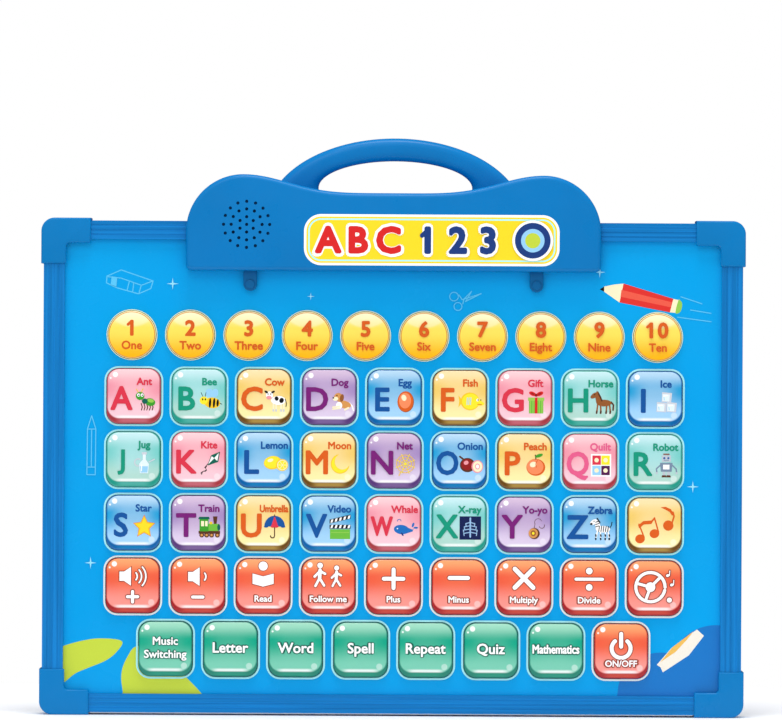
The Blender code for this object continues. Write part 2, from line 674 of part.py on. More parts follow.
def main():
    """Builds every piece."""
    clear_scene()
    make_rails()
    make_corner_cap("corner_cap_top_left", -1, True)
    make_corner_cap("corner_cap_top_right", 1, True)
    make_corner_cap("corner_cap_bottom_left", -1, False)
    make_corner_cap("corner_cap_bottom_right", 1, False)
    make_board()
    for name, x, z, colour in key_places():
        make_square_key(name, x, z, colour)
    make_number_strip()
    make_front_shell()
    make_rear_shell()
    make_battery_door()
    make_speaker()


main()
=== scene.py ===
import json
import math

import bmesh
import bpy
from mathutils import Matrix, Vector


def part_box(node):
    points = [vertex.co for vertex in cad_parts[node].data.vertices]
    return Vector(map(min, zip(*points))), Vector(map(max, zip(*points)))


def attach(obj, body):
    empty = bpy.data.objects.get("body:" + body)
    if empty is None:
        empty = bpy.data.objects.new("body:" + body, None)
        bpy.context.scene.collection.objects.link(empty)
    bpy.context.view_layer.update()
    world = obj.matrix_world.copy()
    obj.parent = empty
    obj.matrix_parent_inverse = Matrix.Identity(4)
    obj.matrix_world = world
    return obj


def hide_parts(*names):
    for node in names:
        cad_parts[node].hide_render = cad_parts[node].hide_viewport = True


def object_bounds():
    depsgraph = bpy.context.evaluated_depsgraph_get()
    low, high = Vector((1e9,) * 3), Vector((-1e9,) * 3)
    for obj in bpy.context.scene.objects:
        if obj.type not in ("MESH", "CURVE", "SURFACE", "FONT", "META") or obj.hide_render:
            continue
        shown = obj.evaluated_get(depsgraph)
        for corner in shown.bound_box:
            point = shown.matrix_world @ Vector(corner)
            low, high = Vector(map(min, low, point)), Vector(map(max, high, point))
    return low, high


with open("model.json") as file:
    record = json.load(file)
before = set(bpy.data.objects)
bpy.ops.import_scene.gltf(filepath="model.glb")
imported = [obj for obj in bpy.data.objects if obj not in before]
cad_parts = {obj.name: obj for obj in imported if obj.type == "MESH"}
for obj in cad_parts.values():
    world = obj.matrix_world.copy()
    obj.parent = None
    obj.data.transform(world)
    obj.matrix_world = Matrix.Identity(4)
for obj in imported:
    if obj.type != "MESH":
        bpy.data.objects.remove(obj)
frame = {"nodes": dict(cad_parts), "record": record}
cad_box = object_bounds()

MM = 0.001
NODES = frame["nodes"]
SLOT_OF = {part["node"]: part["material_slot"] for part in frame["record"]["subparts"]}

# Depths, from the frame: the panel, the keys and the middle of the board.
PANEL_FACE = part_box("key_panel")[0].y
PANEL_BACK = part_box("key_panel")[1].y
KEY_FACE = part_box("key_a")[0].y
FLANGE_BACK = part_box("key_a")[1].y
FLANGE_THICK = 1.0 * MM
FLANGE_EXTRA = 0.8 * MM
BOARD_Y = -3.75 * MM

# Keys, their openings and the pale rings printed round them.
KEYS_X = 0.9 * MM
KEY_WIDE = 28.4 * MM
KEY_HIGH = 28.9 * MM
KEY_CORNER = 6.2 * MM
RING_GROW = 1.25 * MM
HOLE_GAP = 0.3 * MM
DISC_R = 12.65 * MM
DISC_RING_R = 13.35 * MM
DISC_PITCH = 30.7 * MM
ROUND_STEPS = 48            # sides of a disc and of its opening
UV_WIDE = 30.2 * MM
UV_HIGH = 30.7 * MM
UV_DISC = 27.0 * MM

# Printing: the first ink's height over its face, and each later ink's over the one before.
PRINT_LIFT = 0.02 * MM
PRINT_STEP = 0.003 * MM
CAPITAL = 0.682             # a capital's height in the plain face
NARROWEST = 0.76            # how far wide words are squeezed before they also get lower
DOODLE_LINE = 0.55          # millimetres, as all places on the panel's sheets are

# Frame corners.
CAP_HALF_X = 185 * MM
CAP_TOP = 261 * MM
CAP_LEG_X = 26 * MM
CAP_LEG_Z = 24 * MM
CAP_LEG_WIDE = 13.2 * MM
CAP_OUTER_R = 7 * MM
CAP_INNER_R = 2 * MM
CAP_SIDE_WALL = 1.05 * MM
CAP_FACE_WALL = 1.2 * MM

# Header housing.
HEADER_HALF = 108.9 * MM
HEADER_LOW = 233.6 * MM
HEADER_CORNER = 3 * MM
LOBE_X = 78.9 * MM
LOBE_Z = 254.2 * MM
LOBE_R = 30.0 * MM
WAIST_Z = 274.6 * MM
WAIST_POWER = 2.5
WALL = 1.8 * MM
REAR_WALL = 2.6 * MM
PARTING = 0.15 * MM
HEADER_EDGE_R = 2.5 * MM
STICKER_ROOM = 0.7 * MM
SPEAKER_AT = (-77.1 * MM, 257.8 * MM)
GRILLE_RINGS = ((0.0, 1), (4.0, 6), (8.1, 12), (12.1, 16))
GRILLE_HOLE_R = 0.85 * MM
STRAP_X = 75.2 * MM
STRAP_FOOT = 226.55 * MM
STRAP_HALF = 3.55 * MM
STRAP_FACE = BOARD_Y - 9.2 * MM
BOSS_R = 2.4 * MM
BOSS_FACE = BOARD_Y - 10.1 * MM
SADDLE = ((5.7, 222.0), (5.7, 249.6), (8.3, 249.6), (8.3, 259.9))

# Handle: half width and rise of two ellipses, and the height each springs from.
HANDLE_X = 0.8 * MM
HANDLE_INNER = (40.5 * MM, 14.2 * MM, 277.8 * MM)
HANDLE_OUTER = (68.0 * MM, 41.85 * MM, 262.2 * MM)
HANDLE_Y = BOARD_Y + 8.5 * MM
HANDLE_HALF_DEEP = 6.0 * MM
HANDLE_SQUARENESS = 0.62

# Battery bay, cells and screws.
BAY_HALF = 27.5 * MM
BAY_LOW = 237.2 * MM
BAY_HIGH = 270.8 * MM
BAY_FLOOR = BOARD_Y + 8.3 * MM
BAY_WALL = 1.2 * MM
BAY_MOUTH_HALF = 24.5 * MM
BAY_MOUTH = (239.0 * MM, 269.0 * MM)
DOOR_MIDDLE = 254.0 * MM
DOOR_SCREW_Z = 267.2 * MM
WELL_X = 95 * MM
WELL_ZS = (243 * MM, 266 * MM)
CELL_Y = BOARD_Y + 14.9 * MM
CELL_ZS = (243.6 * MM, 254.0 * MM, 264.4 * MM)
CELL_R = 5.1 * MM
CELL_LONG = 43.2 * MM
PLATE_X = 27.2 * MM
PLATE_THICK = 0.4 * MM
PLATE_HALF = 4 * MM
SPRING_TURNS = 4
SPRING_STEPS = 72

# Sticker on the header.
STICKER_X = 20.0 * MM
STICKER_Z = 250.0 * MM
STICKER_HALF_WIDE = 67 * MM
STICKER_HALF_HIGH = 13.4 * MM
STICKER_CORNER = 9.0

# Studio.
AMBIENT = 0.85
GLOSS_AMBIENT = 0.04
FLOOR_Y = -0.05
FLOOR_WIDE = 1.4
FLOOR_DEEP = 0.62
LAMPS = (("key_light", (-0.5, -1.9, 1.7), 1.0, 8.0), ("top_light", (0.0, -0.35, 1.5), 0.5, 9.0))
LAMP_AIM = (0, 0, 0.14)
VIEW_X = -1.05 * MM
VIEW_Z = 187.1 * MM
VIEW_DISTANCE = 3.0
VIEW_WIDE = 0.4098
VIEW_ROLL = -0.3
SENSOR = 36.0


def linear(red, green, blue):
    """A colour as seen on screen, 0 to 255, as the linear values a shader takes."""
    values = []
    for part in (red, green, blue):
        part /= 255.0
        values.append(part / 12.92 if part <= 0.04045 else ((part + 0.055) / 1.055) ** 2.4)
    return (*values, 1.0)


INK = {
    "white": (255, 255, 255), "black": (25, 22, 24), "crimson": (222, 48, 72),
    "pink": (232, 92, 140), "teal": (0, 152, 122), "orange": (222, 92, 14),
    "purple": (122, 22, 118), "navy": (0, 82, 158), "amber": (220, 92, 18),
    "red": (222, 30, 30), "maroon": (150, 20, 22), "leaf": (58, 160, 40),
    "lime": (150, 205, 80), "grass": (110, 190, 60), "gold": (248, 200, 30),
    "lemon": (255, 232, 40), "cream": (252, 240, 200), "tan": (216, 150, 80),
    "brown": (150, 88, 40), "dark_brown": (92, 50, 28), "peach": (246, 140, 90),
    "sky": (150, 208, 246), "ice": (226, 242, 250), "steel": (120, 140, 165),
    "grey": (190, 198, 208), "whale": (16, 108, 190), "night": (14, 30, 84),
    "xray": (150, 190, 230), "doodle": (86, 196, 244), "sparkle": (150, 226, 252),
    "forest": (0, 100, 82), "rust": (150, 50, 10), "violet": (84, 22, 80),
    "badge": (24, 60, 130), "yellow": (252, 222, 30), "blush": (240, 150, 160),
    "shade": (206, 210, 220), "ring": (175, 248, 255), "ring_warm": (240, 250, 250),
    "ring_disc": (236, 250, 226), "leaf_pale": (197, 216, 62), "hill": (0, 117, 198),
    "pencil_red": (226, 46, 40), "pencil_light": (240, 90, 70), "page": (244, 238, 224),
    "page_gold": (240, 190, 90),
}


# ---------------------------------------------------------------- modelling helpers

def deselect():
    """Nothing selected, so that an operator acts only on what comes next."""
    for thing in bpy.context.selected_objects:
        thing.select_set(False)


def activate(piece):
    """Selects one piece and makes it the active one."""
    deselect()
    piece.select_set(True)
    bpy.context.view_layer.objects.active = piece


def arc(x, z, radius, start_deg, end_deg, steps):
    """Points on a circle between two angles, both ends included."""
    points = []
    for step in range(steps + 1):
        angle = math.radians(start_deg + (end_deg - start_deg) * step / steps)
        points.append((x + radius * math.cos(angle), z + radius * math.sin(angle)))
    return points


def rounded_box(x, z, half_wide, half_high, radius, steps):
    """An anticlockwise rectangle with rounded corners, about (x, z)."""
    points = []
    for side_x, side_z, start in ((1, -1, -90), (1, 1, 0), (-1, 1, 90), (-1, -1, 180)):
        points += arc(x + side_x * (half_wide - radius), z + side_z * (half_high - radius),
                      radius, start, start + 90, steps)
    return points


def inset(points, distance):
    """Moves an anticlockwise outline inwards."""
    count = len(points)
    moved = []
    for index in range(count):
        x0, z0 = points[index - 1]
        x1, z1 = points[index]
        x2, z2 = points[(index + 1) % count]
        before = math.hypot(x1 - x0, z1 - z0)
        after = math.hypot(x2 - x1, z2 - z1)
        nx = -(z1 - z0) / before - (z2 - z1) / after
        nz = (x1 - x0) / before + (x2 - x1) / after
        scale = 2.0 / (nx * nx + nz * nz) * distance
        moved.append((x1 + nx * scale, z1 + nz * scale))
    return moved


def plate(name, outline, y_front, y_back):
    """A flat ring of points filled in, drawn out from y_front to y_back."""
    deselect()
    bpy.ops.mesh.primitive_circle_add(vertices=len(outline), fill_type="NGON")
    piece = bpy.context.object
    piece.name = name
    piece.data.name = name
    for vertex, (x, z) in zip(piece.data.vertices, outline):
        vertex.co = (x, y_front, z)
    bpy.ops.object.mode_set(mode="EDIT")
    bpy.ops.mesh.select_all(action="SELECT")
    bpy.ops.mesh.extrude_region_move(
        TRANSFORM_OT_translate={"value": (0, y_back - y_front, 0)})
    bpy.ops.mesh.select_all(action="SELECT")
    bpy.ops.mesh.normals_make_consistent(inside=False)
    bpy.ops.object.mode_set(mode="OBJECT")
    return piece


def soften_face_edge(piece, y_value, offset, segments):
    """Rounds the edges that lie all round one flat face."""
    activate(piece)
    bpy.ops.object.mode_set(mode="EDIT")
    bpy.ops.mesh.select_mode(type="EDGE")
    bpy.ops.mesh.select_all(action="DESELECT")
    work = bmesh.from_edit_mesh(piece.data)
    for edge in work.edges:
        edge.select_set(all(abs(vertex.co.y - y_value) < 0.01 * MM for vertex in edge.verts))
    bmesh.update_edit_mesh(piece.data)
    bpy.ops.mesh.bevel(offset=offset, segments=segments, profile=0.5, affect="EDGES")
    bpy.ops.object.mode_set(mode="OBJECT")


def cut(piece, cutter, operation="DIFFERENCE"):
    """Cuts or joins one piece with another, which is used up."""
    deselect()
    bpy.context.view_layer.objects.active = piece
    modifier = piece.modifiers.new("cut", "BOOLEAN")
    modifier.operation = operation
    modifier.solver = "EXACT"
    modifier.object = cutter
    bpy.ops.object.modifier_apply(modifier=modifier.name)
    bpy.data.objects.remove(cutter, do_unlink=True)


def join(name, pieces):
    """Several meshes made one object."""
    deselect()
    for piece in pieces:
        piece.select_set(True)
    bpy.context.view_layer.objects.active = pieces[0]
    if len(pieces) > 1:
        bpy.ops.object.join()
    pieces[0].name = name
    pieces[0].data.name = name
    return pieces[0]


def block(x_range, y_range, z_range):
    """A plain cutter box."""
    outline = [(x_range[0], z_range[0]), (x_range[1], z_range[0]),
               (x_range[1], z_range[1]), (x_range[0], z_range[1])]
    return plate("cutter", outline, *y_range)


def smooth(piece, degrees=35):
    """Rounds shade smooth; corners stay crisp."""
    activate(piece)
    bpy.ops.object.shade_smooth_by_angle(angle=math.radians(degrees))


def print_on(name, piece, prints, materials):
    """Puts prints on a moulded piece, which keeps the first material; ink is the second."""
    piece.data.materials.clear()
    for material in materials:
        piece.data.materials.append(material)
    return join(name, [piece] + [art.mesh(materials) for art in prints])


def finish(piece, body, slot, materials, *nodes):
    """Gives a piece its materials and its body, and hides the CAD nodes it stands for."""
    if not piece.data.materials:
        for material in materials:
            piece.data.materials.append(material)
    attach(piece, body)
    if nodes:
        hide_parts(*nodes)


# ---------------------------------------------------------------- printing

class Print:
    """Flat inked shapes, each a hair above the one before, drawn in a box on a face."""

    def __init__(self, x, z, wide, high, y_face):
        self.x, self.z = x, z
        self.wide, self.high = wide, high
        self.y = y_face - PRINT_LIFT
        self.shapes = []

    def within(self, u, v, wide, high):
        """A smaller box on the same face; its inks go on this sheet."""
        x, z = self.spot(u, v)
        inner = Print(x, z, wide * self.wide, high * self.high, 0.0)
        inner.shapes = self.shapes
        return inner

    def spot(self, u, v):
        """A place in the box, 0 to 1 each way, in metres."""
        return self.x + (u - 0.5) * self.wide, self.z + (v - 0.5) * self.high

    def add(self, points, colour):
        """A filled outline in metres."""
        self.shapes.append(([points], INK[colour]))

    def poly(self, points, colour):
        """A filled outline in the box's own 0 to 1."""
        self.add([self.spot(u, v) for u, v in points], colour)

    def oval(self, u, v, ru, rv, colour, turn=0.0, steps=20):
        """An ellipse; its radii are shares of the box's width."""
        cx, cz = self.spot(u, v)
        turned = math.radians(turn)
        points = []
        for step in range(steps):
            angle = 2 * math.pi * step / steps
            px = ru * self.wide * math.cos(angle)
            pz = rv * self.wide * math.sin(angle)
            points.append((cx + px * math.cos(turned) - pz * math.sin(turned),
                           cz + px * math.sin(turned) + pz * math.cos(turned)))
        self.add(points, colour)

    def line(self, spots, width, colour, rounded=True):
        """A stroke through several places; width is a share of the box's width."""
        points = [self.spot(u, v) for u, v in spots]
        half = width * self.wide / 2
        for (x0, z0), (x1, z1) in zip(points, points[1:]):
            length = math.hypot(x1 - x0, z1 - z0)
            nx, nz = -(z1 - z0) / length * half, (x1 - x0) / length * half
            self.add([(x0 + nx, z0 + nz), (x0 - nx, z0 - nz), (x1 - nx, z1 - nz),
                      (x1 + nx, z1 + nz)], colour)
        if rounded:
            for x, z in points:
                self.add(arc(x, z, half, 0, 324, 9), colour)

    def curve(self, u, v, radius, start, end, width, colour, steps=14):
        """A stroke along part of a circle; the radius is a share of the width."""
        lean = self.wide / self.high
        spots = [(px, v + (pv - v) * lean)
                 for px, pv in arc(u, v, radius, start, end, steps)]
        self.line(spots, width, colour)

    def text(self, words, u, v, wide, high, colour, weight):
        """Words in a plain face: a capital's height, no wider than the room, made bold."""
        deselect()
        bpy.ops.object.text_add()
        letters = bpy.context.object
        letters.data.body = words
        letters.data.resolution_u = 3
        bpy.ops.object.convert(target="MESH")
        letters = bpy.context.object
        mesh = letters.data
        xs = [vertex.co.x for vertex in mesh.vertices]
        tall = high * self.high
        swell = weight * tall
        scale_x = min((tall - 2 * swell) / CAPITAL,
                      (wide * self.wide - 2 * swell) / (max(xs) - min(xs)))
        scale_z = min((tall - 2 * swell) / CAPITAL, scale_x / NARROWEST)
        cx, cz = self.spot(u, v)
        middle = (min(xs) + max(xs)) / 2
        for shift_x, shift_z in [(0.0, 0.0)] + arc(0.0, 0.0, swell, 0, 330, 11):
            faces = []
            for polygon in mesh.polygons:
                faces.append([(cx + shift_x + (mesh.vertices[i].co.x - middle) * scale_x,
                               cz + shift_z + (mesh.vertices[i].co.y - CAPITAL / 2) * scale_z)
                              for i in polygon.vertices])
            self.shapes.append((faces, INK[colour]))
        bpy.data.objects.remove(letters, do_unlink=True)

    def mesh(self, materials):
        """The printed shapes as one flat mesh with its ink colours."""
        work = bmesh.new()
        colours = work.loops.layers.float_color.new("ink")
        for level, (faces, colour) in enumerate(self.shapes):
            y = self.y - PRINT_STEP * level
            value = linear(*colour)
            for points in faces:
                corners = [work.verts.new((x, y, z)) for x, z in points]
                face = work.faces.new(corners)
                face.normal_update()
                if face.normal.y > 0:
                    face.normal_flip()
                face.material_index = 1
                for loop in face.loops:
                    loop[colours] = value
        data = bpy.data.meshes.new("print")
        work.to_mesh(data)
        work.free()
        for material in materials:
            data.materials.append(material)
        piece = bpy.data.objects.new("print", data)
        bpy.context.scene.collection.objects.link(piece)
        return piece


# ---------------------------------------------------------------- materials

class Shader:
    """A material's node tree, built up a node at a time."""

    def __init__(self, name, roughness, specular, coat=0.0):
        self.material = bpy.data.materials.new(name)
        self.material.use_nodes = True
        self.tree = self.material.node_tree
        self.surface = self.tree.nodes["Principled BSDF"]
        self.surface.inputs["Roughness"].default_value = roughness
        self.surface.inputs["Specular IOR Level"].default_value = specular
        self.surface.inputs["Coat Weight"].default_value = coat
        self.surface.inputs["Coat Roughness"].default_value = 0.12
        self.coordinates = self.tree.nodes.new("ShaderNodeTexCoord")

    def node(self, kind, **settings):
        """A new node with its settings."""
        made = self.tree.nodes.new("ShaderNode" + kind)
        for key, value in settings.items():
            setattr(made, key, value)
        return made

    def link(self, source, target):
        """Joins an output to an input."""
        self.tree.links.new(source, target)

    def feed(self, target, value):
        """Gives an input a plain value or another node's output."""
        if isinstance(value, (int, float, tuple)):
            target.default_value = value
        else:
            self.link(value, target)

    def math(self, operation, first, second=0.0):
        """One step of arithmetic."""
        made = self.node("Math", operation=operation)
        self.feed(made.inputs[0], first)
        self.feed(made.inputs[1], second)
        return made.outputs[0]

    def times(self, first, second):
        """Two values multiplied."""
        return self.math("MULTIPLY", first, second)

    def mix(self, share, first, second, blend="MIX"):
        """Two colours mixed."""
        made = self.node("Mix", data_type="RGBA", blend_type=blend)
        self.feed(made.inputs[0], share)
        self.feed(made.inputs[6], first)
        self.feed(made.inputs[7], second)
        return made.outputs[2]

    def fade(self, value, low, high):
        """0 at low, 1 at high, smooth between; low may be the larger."""
        made = self.node("MapRange", interpolation_type="SMOOTHSTEP")
        self.feed(made.inputs[0], value)
        made.inputs[1].default_value = min(low, high)
        made.inputs[2].default_value = max(low, high)
        made.inputs[3].default_value = 0.0 if low < high else 1.0
        made.inputs[4].default_value = 1.0 if low < high else 0.0
        return made.outputs[0]

    def noise(self, scale, detail=3.0, stretch=(1, 1, 1)):
        """Fine unevenness fixed to the piece."""
        mapping = self.node("Mapping")
        mapping.inputs["Scale"].default_value = stretch
        self.link(self.coordinates.outputs["Object"], mapping.inputs["Vector"])
        made = self.node("TexNoise")
        made.inputs["Scale"].default_value = scale
        made.inputs["Detail"].default_value = detail
        self.link(mapping.outputs[0], made.inputs["Vector"])
        return made.outputs[0]

    def colour(self, value):
        """The surface's colour."""
        self.feed(self.surface.inputs["Base Color"], value)

    def bump(self, height, strength, distance):
        """Relief too fine to model."""
        made = self.node("Bump")
        made.inputs["Strength"].default_value = strength
        made.inputs["Distance"].default_value = distance
        self.link(height, made.inputs["Height"])
        self.link(made.outputs[0], self.surface.inputs["Normal"])

    def vary_roughness(self, height, low, high):
        """Polish that differs from place to place."""
        self.link(self.spread(height, low, high), self.surface.inputs["Roughness"])

    def spread(self, value, low, high):
        """The middle of a noise's range stretched over another."""
        made = self.node("MapRange")
        self.feed(made.inputs[0], value)
        made.inputs[1].default_value = 0.3
        made.inputs[2].default_value = 0.7
        made.inputs[3].default_value = low
        made.inputs[4].default_value = high
        return made.outputs[0]


def moulded_plastic(name, colour, roughness, grain=2600.0, depth=0.012):
    """Coloured plastic: faint cloudy colour, fine moulded grain, uneven polish."""
    shader = Shader(name, roughness, 0.18)
    cloud = shader.noise(22.0, 4.0)
    dark = linear(*[part * 0.985 for part in colour])
    light = linear(*[min(255, part * 1.012) for part in colour])
    shader.colour(shader.mix(shader.fade(cloud, 0.35, 0.65), dark, light))
    fine = shader.noise(grain, 2.0)
    shader.bump(fine, 0.12, depth * MM)
    shader.vary_roughness(shader.noise(60.0, 3.0), roughness - 0.05, roughness + 0.07)
    return shader.material


def extruded_plastic(name, colour, along):
    """Rail plastic: fine die lines that run lengthwise."""
    shader = Shader(name, 0.38, 0.18)
    across = (1.0, 1.0, 0.012) if along == "z" else (0.012, 1.0, 1.0)
    lines = shader.noise(900.0, 3.0, across)
    dark = linear(*[part * 0.93 for part in colour])
    light = linear(*[min(255, part * 1.04 + 3) for part in colour])
    shader.colour(shader.mix(shader.fade(lines, 0.3, 0.7), dark, light))
    shader.bump(lines, 0.25, 0.06 * MM)
    shader.vary_roughness(lines, 0.32, 0.46)
    return shader.material


def ink_material():
    """Printing ink: its colour from the piece, a little uneven as screen printing is."""
    shader = Shader("printed_ink", 0.36, 0.3)
    attribute = shader.node("Attribute", attribute_name="ink")
    uneven = shader.spread(shader.noise(1400.0, 2.0), 0.97, 1.0)
    shader.colour(shader.mix(1.0, attribute.outputs["Color"], uneven, "MULTIPLY"))
    shader.vary_roughness(shader.noise(500.0), 0.32, 0.42)
    return shader.material


def box_distance(shader, u, v, centre, half, radius):
    """How far a face point lies outside a rounded box on the key, in shares of its width."""
    across = shader.math("ABSOLUTE", shader.math("SUBTRACT", u, centre[0]))
    up = shader.math("ABSOLUTE", shader.math("SUBTRACT", v, centre[1]))
    out_u = shader.math("MAXIMUM", shader.math("SUBTRACT", across, half[0] - radius), 0.0)
    out_v = shader.math("MAXIMUM", shader.math("SUBTRACT", up, half[1] - radius), 0.0)
    square = shader.math("ADD", shader.times(out_u, out_u), shader.times(out_v, out_v))
    return shader.math("SUBTRACT", shader.math("SQRT", square), radius)


def spot_distance(shader, u, v, centre_u, centre_v, flatten=1.0):
    """Distance from a point on the key face."""
    across = shader.math("SUBTRACT", u, centre_u)
    up = shader.times(shader.math("SUBTRACT", v, centre_v), flatten)
    square = shader.math("ADD", shader.times(across, across), shader.times(up, up))
    return shader.math("SQRT", square)


def face_coordinates(shader):
    """The key's own 0 to 1 square, from its UV map."""
    uv = shader.node("UVMap", uv_map="UVMap")
    split = shader.node("SeparateXYZ")
    shader.link(uv.outputs[0], split.inputs[0])
    return split.outputs[0], split.outputs[1]


def key_plastic(name, pale, strong, low, line, dark, glow=0.5):
    """A square key's candy colours: pale top, strong waist, pale foot, a lighter middle as painted
    highlight, a painted sheen above a band of painted shade along the under-edge, and painted
    glints.
    """
    shader = Shader(name, 0.22, 0.35, 0.25)
    u, v = face_coordinates(shader)
    side = shader.fade(shader.math("ABSOLUTE", shader.math("SUBTRACT", u, 0.5)), 0.08, 0.46)
    waist = shader.times(shader.fade(v, 0.97, 0.58), shader.fade(v, 0.10, 0.5))
    upper = shader.mix(shader.fade(v, 0.95, 0.66), linear(*pale), linear(*strong))
    face = shader.mix(shader.fade(v, 0.62, 0.22), upper, linear(*low))
    # Painted highlight: the middle of the face is made lighter, as on a pillowed face lit from the
    # front.
    centre_glow = shader.times(shader.times(shader.math("SUBTRACT", 1.0, side), waist), glow)
    face = shader.mix(centre_glow, face, linear(*pale))
    rim = box_distance(shader, u, v, (0.5, 0.5), (0.468, 0.468), 0.21)
    top_box = box_distance(shader, u, v, (0.5, 0.545), (0.452, 0.425), 0.20)
    # Painted sheen: a pale band just above the under-edge.
    sheen = shader.times(shader.fade(top_box, -0.075, -0.03),
                        shader.fade(v, 0.20, 0.155))
    sheen = shader.times(sheen, shader.fade(side, 0.85, 0.2))
    face = shader.mix(shader.times(sheen, 0.75), face, linear(255, 255, 255))
    # Painted shade: below the face box the key turns dark, standing for the shaded side wall of a
    # raised cap.
    face = shader.mix(shader.fade(top_box, -0.018, 0.012), face, linear(*dark))
    # The painted shade eases back to the strong colour along the very foot of the key.
    foot = shader.times(shader.fade(v, 0.035, 0.075), shader.fade(side, 0.8, 0.1))
    foot = shader.times(foot, shader.fade(top_box, -0.005, 0.02))
    face = shader.mix(shader.times(foot, 0.35), face, linear(*strong))
    face = shader.mix(shader.fade(rim, -0.016, -0.002), face, linear(*line))
    # Painted glints: two white spots at the upper left and a faint one at the lower right.
    for centre_u, centre_v, radius, share in ((0.18, 0.87, 0.052, 0.95), (0.10, 0.81, 0.02, 0.8),
                                              (0.825, 0.215, 0.062, 0.32)):
        spot = spot_distance(shader, u, v, centre_u, centre_v)
        glint = shader.times(shader.fade(spot, radius, radius * 0.72), share)
        face = shader.mix(glint, face, linear(255, 255, 255))
    shader.colour(shader.mix(1.0, face, shader.spread(shader.noise(700.0), 0.985, 1.0),
                             "MULTIPLY"))
    shader.vary_roughness(shader.noise(120.0), 0.17, 0.26)
    return shader.material


def disc_plastic(name):
    """A number disc: pale yellow at the top, amber at the foot, a fine line inside its rim."""
    shader = Shader(name, 0.22, 0.35, 0.25)
    u, v = face_coordinates(shader)
    face = shader.mix(shader.fade(v, 0.97, 0.62), linear(255, 248, 190), linear(255, 226, 92))
    face = shader.mix(shader.fade(v, 0.62, 0.08), face, linear(255, 186, 10))
    arch = spot_distance(shader, u, v, 0.5, 0.97, 1.35)
    face = shader.mix(shader.times(shader.fade(arch, 0.46, 0.38), 0.28), face,
                      linear(255, 255, 240))
    rim = spot_distance(shader, u, v, 0.5, 0.5)
    line = shader.times(shader.fade(rim, 0.432, 0.440), shader.fade(rim, 0.458, 0.448))
    face = shader.mix(line, face, linear(214, 140, 60))
    face = shader.mix(shader.fade(rim, 0.452, 0.462), face, linear(255, 240, 170))
    shader.colour(shader.mix(1.0, face, shader.spread(shader.noise(700.0), 0.985, 1.0),
                             "MULTIPLY"))
    shader.vary_roughness(shader.noise(120.0), 0.17, 0.26)
    return shader.material


def panel_plastic():
    """The panel's printed sheet: sky blue, a little uneven, with a soft polish."""
    shader = Shader("panel_sheet", 0.26, 0.12)
    glow = shader.noise(5.0, 2.0)
    shader.colour(shader.mix(shader.fade(glow, 0.3, 0.7), linear(0, 156, 226),
                             linear(0, 163, 233)))
    shader.bump(shader.noise(900.0, 2.0), 0.08, 0.01 * MM)
    shader.vary_roughness(shader.noise(40.0), 0.20, 0.30)
    return shader.material


# ---------------------------------------------------------------- pictures on the letter keys

def draw_ant(art):
    for u in (0.34, 0.46, 0.58, 0.70, 0.82):
        art.line([(u, 0.34), (u + 0.05, 0.18), (u + 0.01, 0.06)], 0.045, "dark_brown")
    art.line([(0.22, 0.80), (0.12, 0.95)], 0.035, "gold")
    art.line([(0.34, 0.82), (0.42, 0.97)], 0.035, "gold")
    art.oval(0.74, 0.40, 0.23, 0.17, "leaf", -12)
    art.oval(0.76, 0.46, 0.15, 0.08, "lime", -12)
    art.oval(0.50, 0.44, 0.13, 0.12, "forest")
    art.oval(0.29, 0.66, 0.19, 0.18, "leaf")
    for u in (0.22, 0.38):
        art.oval(u, 0.70, 0.065, 0.075, "white", 0, 12)
        art.oval(u + 0.01, 0.69, 0.03, 0.035, "black", 0, 8)


def draw_bee(art):
    art.oval(0.48, 0.80, 0.17, 0.20, "sky", 20)
    art.oval(0.72, 0.80, 0.15, 0.19, "sky", -15)
    art.oval(0.60, 0.38, 0.36, 0.24, "gold", -4)
    for u, high in ((0.50, 0.20), (0.68, 0.20), (0.84, 0.15)):
        art.oval(u, 0.38, 0.055, high * 1.1, "black", -4, 14)
    art.line([(0.94, 0.36), (1.02, 0.33)], 0.03, "black")
    art.oval(0.22, 0.48, 0.18, 0.18, "lemon")
    art.oval(0.17, 0.53, 0.035, 0.05, "black", 0, 8)
    art.oval(0.29, 0.53, 0.035, 0.05, "black", 0, 8)
    art.line([(0.18, 0.66), (0.10, 0.82)], 0.025, "black")
    art.line([(0.28, 0.66), (0.32, 0.82)], 0.025, "black")


def draw_cow(art):
    for u in (0.42, 0.54, 0.76, 0.88):
        art.line([(u, 0.40), (u, 0.08)], 0.075, "cream")
        art.line([(u, 0.10), (u, 0.05)], 0.075, "shade")
    art.oval(0.64, 0.50, 0.33, 0.20, "white")
    art.oval(0.56, 0.58, 0.09, 0.10, "black", 20, 14)
    art.oval(0.78, 0.50, 0.10, 0.12, "black", -20, 14)
    art.line([(0.94, 0.56), (1.0, 0.38), (0.98, 0.24)], 0.035, "black")
    art.oval(0.24, 0.72, 0.16, 0.17, "white")
    art.oval(0.10, 0.86, 0.09, 0.05, "black", -30, 10)
    art.oval(0.40, 0.86, 0.09, 0.05, "black", 30, 10)
    art.oval(0.22, 0.62, 0.12, 0.08, "blush")
    for u in (0.18, 0.30):
        art.oval(u, 0.77, 0.025, 0.035, "black", 0, 8)


